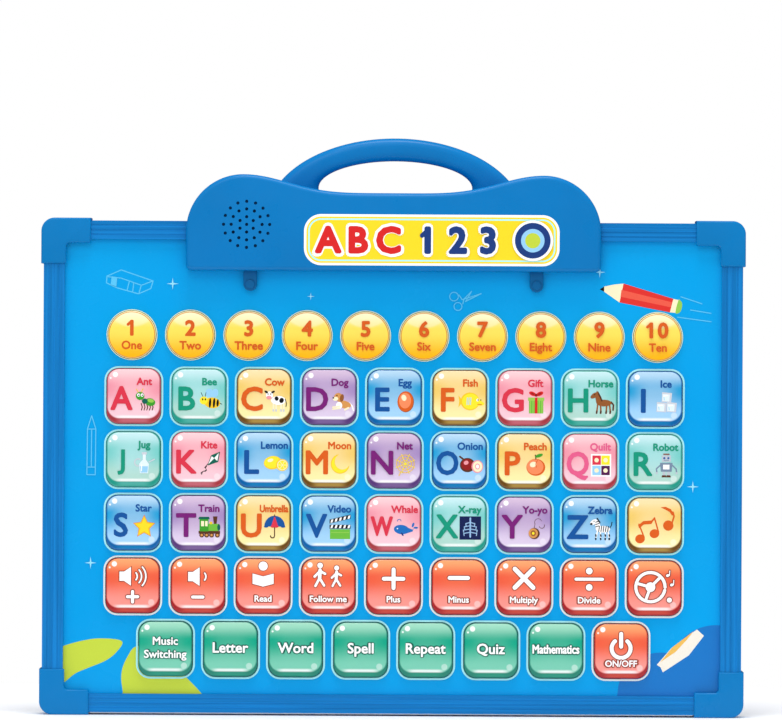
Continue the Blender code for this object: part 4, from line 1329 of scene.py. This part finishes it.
def print_panel():
    """The panel's pictures: leaves, a hill, a book, a pencil, pale doodles and twinkles."""
    rings, art, pencil, doodle = [Print(0.5 * MM, 0.5 * MM, MM, MM, PANEL_FACE)
                                  for _ in range(4)]
    print_rings(rings)
    art.poly(curved(LEAF_LEFT), "leaf_pale")
    art.poly(curved(LEAF_RIGHT), "leaf_pale")
    art.poly([(118.0, 5.0)] + arc(141.9, 10.8, 23.3, 165, 68, 16)
             + arc(170.5, 24.0, 24.6, 150, 68, 16) + [(179.7, 5.0)], "hill")
    art.poly([(160.5, 46.3), (164.2, 43.0), (156.3, 32.7), (142.7, 23.7), (141.4, 26.4),
              (139.5, 27.6), (147.2, 36.5)], "page")
    art.poly([(158.7, 45.3), (147.7, 36.9), (141.2, 28.9), (149.3, 34.4), (155.2, 40.8)],
             "page_gold")

    pencil.poly([(110.8, 226.3), (110.8, 223.6), (118.9, 218.0), (119.9, 222.8),
                 (121.0, 227.9), (116.2, 227.4)], "cream")
    pencil.poly([(108.4, 224.8), (110.8, 223.6), (110.8, 226.3)], "black")
    pencil.poly([(121.0, 227.9), (119.9, 222.8), (118.9, 218.0), (145.4, 212.9),
                 (146.3, 216.6), (147.2, 220.0)], "pencil_red")
    pencil.poly([(119.9, 224.6), (119.4, 221.0), (145.8, 215.6), (146.5, 218.2)], "pencil_light")
    pencil.poly([(147.2, 220.0), (145.4, 212.9), (148.3, 212.7), (149.9, 219.4)], "cream")
    pencil.poly(curved([(149.9, 219.4), (148.3, 212.7), (150.5, 212.8), (151.6, 215.0),
                        (151.8, 217.7), (151.0, 219.0)], 3), "lime")

    for points in (
            [(-150.6, 230.4), (-150.8, 226.9), (-145.6, 224.4), (-134.0, 221.2),
             (-127.5, 224.0), (-126.3, 228.0), (-143.1, 233.7), (-150.6, 230.4)],
            [(-150.1, 230.1), (-143.1, 229.4), (-132.5, 225.7), (-126.3, 228.0)],
            [(-132.5, 225.7), (-133.8, 221.2)],
            [(-138.8, 227.7), (-140.0, 222.9)], [(-136.5, 226.9), (-137.0, 222.2)],
            [(151.2, 221.1), (162.2, 217.5)], [(156.3, 214.2), (167.0, 212.5)],
            [(149.4, 210.4), (167.1, 208.1)],
            [(34.5, 221.5), (36.2, 219.0), (46.1, 222.2), (38.5, 218.4)],
            [(36.5, 216.8), (37.2, 219.4), (41.1, 223.4), (38.0, 218.0)],
            [(-160.6, 126.0), (-160.4, 150.0), (-158.2, 157.0), (-156.0, 150.0),
             (-156.2, 126.0), (-160.6, 126.0)],
            [(-160.5, 130.0), (-156.1, 130.0)], [(-160.4, 150.0), (-156.0, 150.0)],
            [(-158.3, 130.0), (-158.2, 150.0)]):
        doodle.line(points, DOODLE_LINE, "doodle")
    doodle.poly([(-148.1, 230.4), (-148.6, 226.1), (-145.6, 224.9), (-145.1, 229.9)], "doodle")
    doodle.curve(31.9, 220.6, 2.3, 0, 345, DOODLE_LINE, "doodle", 14)
    doodle.curve(34.0, 215.4, 2.1, 0, 345, DOODLE_LINE, "doodle", 14)
    for x, z, reach in ((-116.0, 226.6, 3.2), (-43.4, 220.3, 2.0), (108.4, 233.8, 3.0),
                        (157.9, 121.3, 3.2), (-158.4, 79.7, 3.2)):
        sparkle(doodle, x, z, reach)
    return [rings, art, pencil, doodle]


def make_panel(material, ink):
    """The front sheet with its key openings and its printed pictures."""
    low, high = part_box("key_panel")
    panel = plate("panel", rounded_box(0, (low.z + high.z) / 2, (high.x - low.x) / 2,
                                       (high.z - low.z) / 2, 2 * MM, 4),
                  PANEL_FACE, PANEL_BACK)
    outlines = [key_outline(x, z, HOLE_GAP, 8) for node, x, z in square_keys()]
    outlines += [disc_outline(x, z, DISC_R + HOLE_GAP) for x, z in disc_places()]
    cutters = [plate("hole", outline, PANEL_FACE - MM, PANEL_BACK + MM) for outline in outlines]
    cut(panel, join("holes", cutters))
    panel = print_on("printed_panel", panel, print_panel(), [material, ink])
    finish(panel, "board", "panel_blue", [material, ink], "key_panel")


# ---------------------------------------------------------------- frame corners

def corner_outline(side, upper):
    """The L of one corner cap, drawn at the lower right and mirrored into place."""
    points = [(CAP_HALF_X - CAP_LEG_X, 0.0)]
    points += arc(CAP_HALF_X - CAP_OUTER_R, CAP_OUTER_R, CAP_OUTER_R, -90, 0, 14)
    points += [(CAP_HALF_X, CAP_LEG_Z), (CAP_HALF_X - CAP_LEG_WIDE, CAP_LEG_Z)]
    points += arc(CAP_HALF_X - CAP_LEG_WIDE - CAP_INNER_R, CAP_LEG_WIDE + CAP_INNER_R,
                  CAP_INNER_R, 0, -90, 6)
    points.append((CAP_HALF_X - CAP_LEG_X, CAP_LEG_WIDE))
    return mirror_corner(points, side, upper)


def mirror_corner(points, side, upper):
    """A lower right outline moved to any corner, still anticlockwise."""
    placed = [(side * x, CAP_TOP - z if upper else z) for x, z in points]
    if side * (-1 if upper else 1) < 0:
        placed.reverse()
    return placed


def make_corner_cap(node, side, upper, material):
    """One hollow corner cap with rounded edges, front and back."""
    low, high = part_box(node)
    cap = plate("corner", corner_outline(side, upper), low.y, high.y)
    for face in (low.y, high.y):
        soften_face_edge(cap, face, 1.1 * MM, 5)
    radius = CAP_OUTER_R - CAP_SIDE_WALL
    far_x, far_z = CAP_HALF_X - CAP_LEG_X - 8 * MM, CAP_LEG_Z + 8 * MM
    hollow = [(far_x, CAP_SIDE_WALL)]
    hollow += arc(CAP_HALF_X - CAP_OUTER_R, CAP_OUTER_R, radius, -90, 0, 14)
    hollow += [(CAP_HALF_X - CAP_SIDE_WALL, far_z), (far_x, far_z)]
    cut(cap, plate("hollow", mirror_corner(hollow, side, upper), low.y + CAP_FACE_WALL,
                   high.y - CAP_FACE_WALL))
    smooth(cap, 40)
    cap.name = cap.data.name = "moulded_" + node
    finish(cap, "board", "cap_blue", [material], node)


# ---------------------------------------------------------------- header

def header_outline():
    """Two lobes with a shallow waist between them, and small corners at the foot."""
    corner = HEADER_CORNER
    points = arc(-HEADER_HALF + corner, HEADER_LOW + corner, corner, 180, 270, 8)
    points += arc(HEADER_HALF - corner, HEADER_LOW + corner, corner, 270, 360, 8)
    points += arc(LOBE_X, LOBE_Z, LOBE_R, 0, 90, 28)
    steps = 64
    for step in range(1, steps):
        x = LOBE_X - 2 * LOBE_X * step / steps
        rise = 0.5 - 0.5 * math.cos(math.pi * abs(x) / LOBE_X)
        points.append((x, WAIST_Z + (LOBE_Z + LOBE_R - WAIST_Z) * rise ** WAIST_POWER))
    points += arc(-LOBE_X, LOBE_Z, LOBE_R, 90, 180, 28)
    return points


def cut_saddle(shell):
    """Clears the panel, the back board and the top rail that the header sits astride."""
    outline = [(-y * MM, z * MM) for y, z in SADDLE] + [(y * MM, z * MM)
                                                         for y, z in reversed(SADDLE)]
    saddle = plate("saddle", outline, -HEADER_HALF - MM, HEADER_HALF + MM)
    for vertex in saddle.data.vertices:
        along, depth = vertex.co.y, vertex.co.x
        vertex.co.x, vertex.co.y = along, depth + BOARD_Y
    activate(saddle)
    bpy.ops.object.mode_set(mode="EDIT")
    bpy.ops.mesh.select_all(action="SELECT")
    bpy.ops.mesh.normals_make_consistent(inside=False)
    bpy.ops.object.mode_set(mode="OBJECT")
    cut(shell, saddle)


def make_front_shell(material, shaded_strap_material):
    """Front half of the header with its grille, and two straps down on to the panel."""
    low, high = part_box("header_front_shell")
    face = low.y + STICKER_ROOM
    shell = plate("front", header_outline(), face, BOARD_Y - PARTING)
    soften_face_edge(shell, face, HEADER_EDGE_R, 8)
    cut(shell, plate("hollow", inset(header_outline(), WALL), low.y + WALL, BOARD_Y + MM))
    holes = []
    for radius, count in GRILLE_RINGS:
        for index in range(count):
            angle = 2 * math.pi * index / count
            holes.append((SPEAKER_AT[0] + radius * MM * math.sin(angle),
                          SPEAKER_AT[1] + radius * MM * math.cos(angle)))
    cut(shell, round_holes(holes, GRILLE_HOLE_R, low.y - MM, low.y + WALL + MM, 16))
    cut_saddle(shell)
    smooth(shell, 40)
    straps = []
    for x in (-STRAP_X, STRAP_X):
        outline = arc(x, STRAP_FOOT, STRAP_HALF, 180, 360, 20)
        outline += [(x + STRAP_HALF, HEADER_LOW + 0.4 * MM), (x - STRAP_HALF, HEADER_LOW + 0.4 * MM)]
        strap = plate("strap", outline, STRAP_FACE, PANEL_FACE - 0.3 * MM)
        soften_face_edge(strap, STRAP_FACE, 0.5 * MM, 3)
        boss = plate("boss", arc(x, STRAP_FOOT, BOSS_R, 0, 350, 35), BOSS_FACE,
                     STRAP_FACE + 0.2 * MM)
        soften_face_edge(boss, BOSS_FACE, 0.35 * MM, 3)
        cut(strap, boss, "UNION")
        straps.append(strap)
    strap = join("header_straps", straps)
    smooth(strap, 40)
    shell.name = shell.data.name = "moulded_header_front"
    finish(shell, "board", "header_blue", [material], "header_front_shell")
    # The straps get a darker copy of the header plastic: painted shade.
    finish(strap, "board", "header_blue", [shaded_strap_material])


def handle_arch():
    """The carry handle: a rounded band between two ellipses."""
    around, stations = 28, 72
    start = math.radians(-12)
    outline = []
    for step in range(around):
        angle = 2 * math.pi * (step + 0.5) / around
        reach = math.copysign(abs(math.cos(angle)) ** HANDLE_SQUARENESS, math.cos(angle))
        depth = math.copysign(abs(math.sin(angle)) ** HANDLE_SQUARENESS, math.sin(angle))
        outline.append((0.5 + 0.5 * reach, HANDLE_Y + HANDLE_HALF_DEEP * depth))
    work = bmesh.new()
    rings = []
    for station in range(stations):
        angle = start + (math.pi - 2 * start) * station / (stations - 1)
        (inner_x, inner_z), (outer_x, outer_z) = [
            (half_wide * math.cos(angle), spring_z + rise * math.sin(angle))
            for half_wide, rise, spring_z in (HANDLE_INNER, HANDLE_OUTER)]
        rings.append([work.verts.new((HANDLE_X + inner_x + (outer_x - inner_x) * share, y,
                                      inner_z + (outer_z - inner_z) * share))
                      for share, y in outline])
    for first, second in zip(rings, rings[1:]):
        for index in range(around):
            after = (index + 1) % around
            work.faces.new((first[index], first[after], second[after], second[index]))
    work.faces.new(rings[0])
    work.faces.new(rings[-1])
    bmesh.ops.recalc_face_normals(work, faces=work.faces)
    data = bpy.data.meshes.new("handle")
    work.to_mesh(data)
    work.free()
    piece = bpy.data.objects.new("handle", data)
    bpy.context.scene.collection.objects.link(piece)
    return piece


def round_holes(places, radius, y_front, y_back, sides=32):
    """Several round cutters made one."""
    return join("holes", [plate("hole", arc(x, z, radius, 0, 360 - 360 / sides, sides - 1),
                                y_front, y_back) for x, z in places])


def make_rear_shell(material):
    """Rear half of the header: handle, battery bay, screw wells."""
    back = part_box("header_rear_shell")[1].y
    shell = plate("rear", header_outline(), back, BOARD_Y + PARTING)
    soften_face_edge(shell, back, HEADER_EDGE_R, 8)
    cut(shell, handle_arch(), "UNION")
    inside = back - REAR_WALL
    overlap = 0.1 * MM
    cut(shell, plate("hollow", inset(header_outline(), WALL), BOARD_Y - MM, inside))
    outer = BAY_HALF + BAY_WALL
    cut(shell, block((-outer, outer), (BAY_FLOOR, inside + overlap),
                     (BAY_LOW - BAY_WALL, BAY_HIGH + BAY_WALL)), "UNION")
    cut(shell, block((-BAY_HALF, BAY_HALF), (BAY_FLOOR + BAY_WALL, inside), (BAY_LOW, BAY_HIGH)))
    cut(shell, block((-BAY_MOUTH_HALF, BAY_MOUTH_HALF), (inside - MM, back + MM), BAY_MOUTH))
    cut(shell, plate("seat", rounded_box(0, DOOR_MIDDLE, 27.1 * MM, 16.9 * MM, 2.8 * MM, 8),
                     BOARD_Y + 20.6 * MM, back + MM))
    wells = [(x, z) for x in (-WELL_X, WELL_X) for z in WELL_ZS]
    cut(shell, round_holes(wells, 4.6 * MM, BOARD_Y + 12 * MM, inside + overlap), "UNION")
    cut(shell, round_holes(wells, 2.8 * MM, BOARD_Y + 15 * MM, back + MM))
    cut_saddle(shell)
    smooth(shell, 40)
    shell.name = shell.data.name = "moulded_header_rear"
    finish(shell, "board", "header_blue", [material], "header_rear_shell")


def make_battery_door(material):
    """The lift-off door, with ribs for a thumb and a recess for its screw."""
    low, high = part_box("battery_door")
    door = plate("door", rounded_box(0, (low.z + high.z) / 2, (high.x - low.x) / 2,
                                     (high.z - low.z) / 2, 2.5 * MM, 8), low.y, high.y)
    soften_face_edge(door, high.y, 0.35 * MM, 3)
    cut(door, plate("pull", rounded_box(0, 241.6 * MM, 7 * MM, 2.2 * MM, 2 * MM, 8),
                    high.y - 0.6 * MM, high.y + MM))
    cut(door, round_holes([(0, DOOR_SCREW_Z)], 2.0 * MM, high.y - 0.6 * MM, high.y + MM))
    grooves = [block((-14 * MM, 14 * MM), (high.y - 0.35 * MM, high.y + MM),
                     (z * MM - 0.4 * MM, z * MM + 0.4 * MM)) for z in (247.5, 249.5, 251.5)]
    cut(door, join("grooves", grooves))
    smooth(door, 30)
    door.name = door.data.name = "moulded_battery_door"
    finish(door, "battery_door", "header_blue", [material], "battery_door")


def screw(x, z, y_front, radius, name, material, body):
    """A cross-head screw seen from behind."""
    head = plate(name, arc(x, z, radius, 0, 350, 35), y_front - 1.2 * MM, y_front)
    soften_face_edge(head, y_front, 0.3 * MM, 3)
    reach, slot = radius * 0.62, radius * 0.14
    cut(head, block((x - reach, x + reach), (y_front - 0.6 * MM, y_front + MM),
                    (z - slot, z + slot)))
    cut(head, block((x - slot, x + slot), (y_front - 0.6 * MM, y_front + MM),
                    (z - reach, z + reach)))
    smooth(head, 40)
    finish(head, body, "screw_steel", [material])


def rod(name, radius, depth, x, z, sides):
    """A cylinder that lies along the bay."""
    deselect()
    bpy.ops.mesh.primitive_cylinder_add(vertices=sides, radius=radius, depth=depth,
                                        location=(x, CELL_Y, z), rotation=(0, math.pi / 2, 0))
    piece = bpy.context.object
    piece.name = piece.data.name = name
    return piece


def make_cell(name, z, wrap):
    """One AAA cell with softened rims."""
    cell = rod(name, CELL_R, CELL_LONG, 0, z, 40)
    bpy.ops.object.mode_set(mode="EDIT")
    bpy.ops.mesh.select_all(action="SELECT")
    bpy.ops.mesh.bevel(offset=0.5 * MM, segments=3, affect="EDGES")
    bpy.ops.object.mode_set(mode="OBJECT")
    bpy.ops.object.transform_apply(location=True, rotation=True, scale=True)
    smooth(cell, 40)
    finish(cell, "board", "cell_wrap", [wrap])


def spring(z, side):
    """A conical spring that presses on the cell's flat end."""
    coil = []
    for step in range(SPRING_STEPS + 1):
        share = step / SPRING_STEPS
        angle = 2 * math.pi * SPRING_TURNS * step / SPRING_STEPS
        radius = (3.4 - 1.4 * share) * MM
        along = -side * (26.9 - 4.7 * share) * MM
        coil.append((along, CELL_Y + radius * math.cos(angle), z + radius * math.sin(angle)))
    wire = bpy.data.curves.new("spring", "CURVE")
    wire.dimensions = "3D"
    wire.bevel_depth = 0.35 * MM
    wire.bevel_resolution = 2
    wire.use_fill_caps = True
    spline = wire.splines.new("POLY")
    spline.points.add(len(coil) - 1)
    for point, place in zip(spline.points, coil):
        point.co = (*place, 1.0)
    holder = bpy.data.objects.new("spring", wire)
    bpy.context.scene.collection.objects.link(holder)
    activate(holder)
    bpy.ops.object.convert(target="MESH")
    return bpy.context.object


def make_contacts(name, z, side, steel):
    """A cell's nub, its two end plates and its spring."""
    nub = rod("nub", 1.9 * MM, 1.3 * MM, side * 22.2 * MM, z, 28)
    bpy.ops.object.transform_apply(location=True, rotation=True, scale=True)
    contacts = [nub]
    for end in (-1, 1):
        middle = end * PLATE_X
        contacts.append(block((middle - PLATE_THICK / 2, middle + PLATE_THICK / 2),
                              (CELL_Y - PLATE_HALF, CELL_Y + PLATE_HALF),
                              (z - PLATE_HALF, z + PLATE_HALF)))
    contacts.append(spring(z, side))
    contact = join(name, contacts)
    smooth(contact, 40)
    finish(contact, "board", "screw_steel", [steel])


def make_cells(wrap, steel):
    """Three AAA cells in the bay, turn about, with a spring and a plate at each end."""
    for number, z in enumerate(CELL_ZS, 1):
        make_cell("cell_%d" % number, z, wrap)
        make_contacts("cell_contacts_%d" % number, z, 1 if number % 2 else -1, steel)


def make_sticker(paper, ink):
    """A plain generic sticker on the header: letters, numbers and one round badge."""
    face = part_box("header_front_shell")[0].y + STICKER_ROOM
    x, z = STICKER_X, STICKER_Z
    half_wide, half_high = STICKER_HALF_WIDE, STICKER_HALF_HIGH
    paper_face = face - 0.12 * MM
    base = plate("sticker", rounded_box(x, z, half_wide, half_high, STICKER_CORNER * MM, 16),
                 paper_face, face + 0.05 * MM)
    art = Print(x, z, 2 * half_wide, 2 * half_high, paper_face)
    for margin, colour in ((1.3, "yellow"), (2.2, "ring"), (3.0, "yellow")):
        art.add(rounded_box(x, z, half_wide - margin * MM, half_high - margin * MM,
                            (STICKER_CORNER - margin) * MM, 16), colour)
    for index, letter in enumerate("ABC123"):
        colour = "badge" if letter.isdigit() else "red"
        u = 0.095 + 0.118 * index + (0.035 if letter.isdigit() else 0.0)
        art.text(letter, u, 0.5, 0.14, 0.66, "white", 0.10)
        art.text(letter, u, 0.5, 0.13, 0.54, colour, 0.06)
        if letter == "1":
            art.line([(u, 0.69), (u - 0.022, 0.59)], 0.018, colour)
    for reach, colour in ((0.080, "white"), (0.070, "badge"), (0.046, "sky"),
                          (0.030, "leaf_pale")):
        art.oval(0.895, 0.5, reach, reach, colour, 0, 40)
    sticker = print_on("generic_sticker", base, [art], [paper, ink])
    finish(sticker, "board", "title_sticker", [paper, ink])


# ---------------------------------------------------------------- remaining materials

def circuit_material():
    """Solder mask with faint tracks."""
    shader = Shader("solder_mask", 0.4, 0.4)
    cells = shader.node("TexVoronoi", feature="DISTANCE_TO_EDGE")
    cells.inputs["Scale"].default_value = 110.0
    shader.link(shader.coordinates.outputs["Object"], cells.inputs["Vector"])
    tracks = shader.fade(cells.outputs["Distance"], 0.035, 0.02)
    shader.colour(shader.mix(tracks, linear(10, 92, 52), linear(28, 128, 74)))
    shader.bump(tracks, 0.4, 0.03 * MM)
    shader.vary_roughness(shader.noise(90.0), 0.34, 0.48)
    return shader.material


def cone_material():
    """Speaker paper: dark, fibrous."""
    shader = Shader("speaker_paper", 0.8, 0.2)
    fibre = shader.noise(1500.0, 5.0, (1, 1, 0.3))
    shader.colour(shader.mix(shader.fade(fibre, 0.3, 0.7), linear(14, 62, 108),
                             linear(26, 88, 142)))
    shader.bump(fibre, 0.5, 0.05 * MM)
    shader.vary_roughness(fibre, 0.7, 0.9)
    return shader.material


def steel_material():
    """Plated steel, finely brushed."""
    shader = Shader("plated_steel", 0.32, 0.5)
    shader.surface.inputs["Metallic"].default_value = 1.0
    brush = shader.noise(2200.0, 3.0, (1, 1, 0.08))
    shader.colour(shader.mix(shader.fade(brush, 0.3, 0.7), linear(168, 170, 174),
                             linear(206, 208, 210)))
    shader.bump(brush, 0.3, 0.01 * MM)
    shader.vary_roughness(brush, 0.26, 0.42)
    return shader.material


def wrap_material():
    """A cell's wrap: dark with one copper-coloured end."""
    shader = Shader("cell_sleeve", 0.3, 0.5)
    split = shader.node("SeparateXYZ")
    shader.link(shader.coordinates.outputs["Object"], split.inputs[0])
    band_share = shader.fade(split.outputs[0], 0.0098, 0.0102)
    shader.colour(shader.mix(band_share, linear(24, 24, 28), linear(190, 120, 60)))
    shader.bump(shader.noise(400.0), 0.15, 0.03 * MM)
    shader.vary_roughness(shader.noise(80.0), 0.24, 0.36)
    return shader.material


def floor_material():
    """A plain pale floor with the faintest unevenness."""
    shader = Shader("pale_floor", 0.8, 0.1)
    shader.colour(shader.mix(shader.fade(shader.noise(8.0), 0.3, 0.7), linear(250, 250, 251),
                             linear(255, 255, 255)))
    shader.vary_roughness(shader.noise(30.0), 0.75, 0.9)
    return shader.material


def dress(node, material):
    """Gives a CAD piece its finished material."""
    piece = NODES[node]
    piece.data.materials.clear()
    piece.data.materials.append(material)


# ---------------------------------------------------------------- studio

def make_studio():
    """Camera square to the face, pale floor, soft light."""
    deselect()
    bpy.ops.mesh.primitive_plane_add(size=1.0, location=(0, FLOOR_Y, 0))
    floor = bpy.context.object
    floor.scale = (FLOOR_WIDE, FLOOR_DEEP, 1.0)
    bpy.ops.object.transform_apply(location=True, rotation=True, scale=True)
    floor.name = "studio_floor"
    floor.data.materials.append(floor_material())
    world = bpy.context.scene.world or bpy.data.worlds.new("studio")
    bpy.context.scene.world = world
    world.use_nodes = True
    tree = world.node_tree
    tree.nodes.clear()
    output = tree.nodes.new("ShaderNodeOutputWorld")
    mix = tree.nodes.new("ShaderNodeMixShader")
    path = tree.nodes.new("ShaderNodeLightPath")
    lighting = tree.nodes.new("ShaderNodeBackground")
    backdrop = tree.nodes.new("ShaderNodeBackground")
    lighting.inputs[0].default_value = (1.0, 1.0, 1.0, 1.0)
    shiny = tree.nodes.new("ShaderNodeMath")
    shiny.operation = "MULTIPLY_ADD"
    shiny.inputs[1].default_value = GLOSS_AMBIENT - AMBIENT
    shiny.inputs[2].default_value = AMBIENT
    tree.links.new(path.outputs["Is Glossy Ray"], shiny.inputs[0])
    tree.links.new(shiny.outputs[0], lighting.inputs[1])
    backdrop.inputs[0].default_value = (1.0, 1.0, 1.0, 1.0)
    tree.links.new(path.outputs["Is Camera Ray"], mix.inputs[0])
    tree.links.new(lighting.outputs[0], mix.inputs[1])
    tree.links.new(backdrop.outputs[0], mix.inputs[2])
    tree.links.new(mix.outputs[0], output.inputs[0])
    world.cycles.sampling_method = "NONE"
    for name, place, size, watts in LAMPS:
        lamp = bpy.data.lights.new(name, "AREA")
        lamp.energy = watts
        lamp.size = size
        holder = bpy.data.objects.new(name, lamp)
        bpy.context.scene.collection.objects.link(holder)
        holder.location = place
        aim = Vector(LAMP_AIM) - Vector(place)
        holder.rotation_euler = aim.to_track_quat("-Z", "Y").to_euler()
    lens = bpy.data.cameras.new("camera")
    camera = bpy.data.objects.new("camera", lens)
    bpy.context.scene.collection.objects.link(camera)
    camera.location = (VIEW_X, -VIEW_DISTANCE, VIEW_Z)
    camera.rotation_euler = (math.pi / 2, math.radians(VIEW_ROLL), 0)
    lens.sensor_width = SENSOR
    lens.lens = SENSOR * (VIEW_DISTANCE + cad_box[0].y) / VIEW_WIDE
    bpy.context.scene.camera = camera
    bpy.context.scene.view_settings.view_transform = "Standard"


ink = ink_material()
# Each key colour: pale, strong, foot, edge line, and the painted shade of the under-edge; the last
# number sets how strong the painted middle highlight is.
CANDY = {
    "key_pink": key_plastic("candy_pink", (252, 206, 211), (240, 150, 168), (247, 203, 215),
                            (190, 80, 96), (166, 55, 64)),
    "key_green": key_plastic("candy_green", (198, 234, 238), (120, 205, 200), (175, 217, 205),
                             (40, 160, 142), (31, 152, 134)),
    "key_yellow": key_plastic("candy_yellow", (252, 226, 173), (241, 203, 105),
                              (254, 240, 170), (130, 90, 30), (109, 72, 22)),
    "key_purple": key_plastic("candy_purple", (214, 190, 218), (165, 138, 192),
                              (222, 206, 234), (100, 68, 130), (88, 57, 120)),
    "key_blue": key_plastic("candy_blue", (181, 216, 241), (30, 158, 214), (162, 212, 252),
                            (1, 97, 165), (1, 97, 165)),
    "key_red": key_plastic("candy_red", (250, 165, 110), (240, 95, 65), (250, 150, 140),
                           (150, 25, 25), (165, 15, 25), 0.1),
    "key_function_green": key_plastic("candy_function_green", (160, 220, 195),
                                      (8, 168, 135), (115, 202, 175), (0, 110, 92),
                                      (0, 125, 105), 0.15),
}
make_square_keys(CANDY, ink)
make_number_keys(disc_plastic("candy_amber"), ink)
make_panel(panel_plastic(), ink)

cap_plastic = moulded_plastic("cap_plastic", (0, 120, 188), 0.30)
for node_name, side, upper in (("corner_cap_top_left", -1, True),
                               ("corner_cap_top_right", 1, True),
                               ("corner_cap_bottom_left", -1, False),
                               ("corner_cap_bottom_right", 1, False)):
    make_corner_cap(node_name, side, upper, cap_plastic)

header_plastic = moulded_plastic("header_plastic", (0, 118, 188), 0.30)
# The straps' plastic is the header's blue made darker: painted shade.
make_front_shell(header_plastic, moulded_plastic("strap_plastic_painted_shade", (0, 95, 153), 0.36))
make_rear_shell(header_plastic)
make_battery_door(header_plastic)
steel = steel_material()
for well_x in (-WELL_X, WELL_X):
    for well_z in WELL_ZS:
        screw(well_x, well_z, BOARD_Y + 16.4 * MM, 2.5 * MM,
              "header_screw_%s%d" % ("l" if well_x < 0 else "r", round(well_z / MM)), steel,
              "board")
screw(0.0, DOOR_SCREW_Z, BOARD_Y + 21.9 * MM, 1.7 * MM, "door_screw", steel, "battery_door")
make_cells(wrap_material(), steel)
make_sticker(moulded_plastic("sticker_vinyl", (252, 252, 250), 0.22), ink)

side_rail = extruded_plastic("side_rail_plastic", (0, 120, 194), "z")
cross_rail = extruded_plastic("cross_rail_plastic", (0, 120, 194), "x")
for node_name in ("left_rail", "right_rail"):
    dress(node_name, side_rail)
for node_name in ("top_rail", "bottom_rail"):
    dress(node_name, cross_rail)
dress("back_board", moulded_plastic("back_sheet", (0, 112, 190), 0.46, 1200.0, 0.03))
dress("circuit_board", circuit_material())
dress("speaker", cone_material())

make_studio()
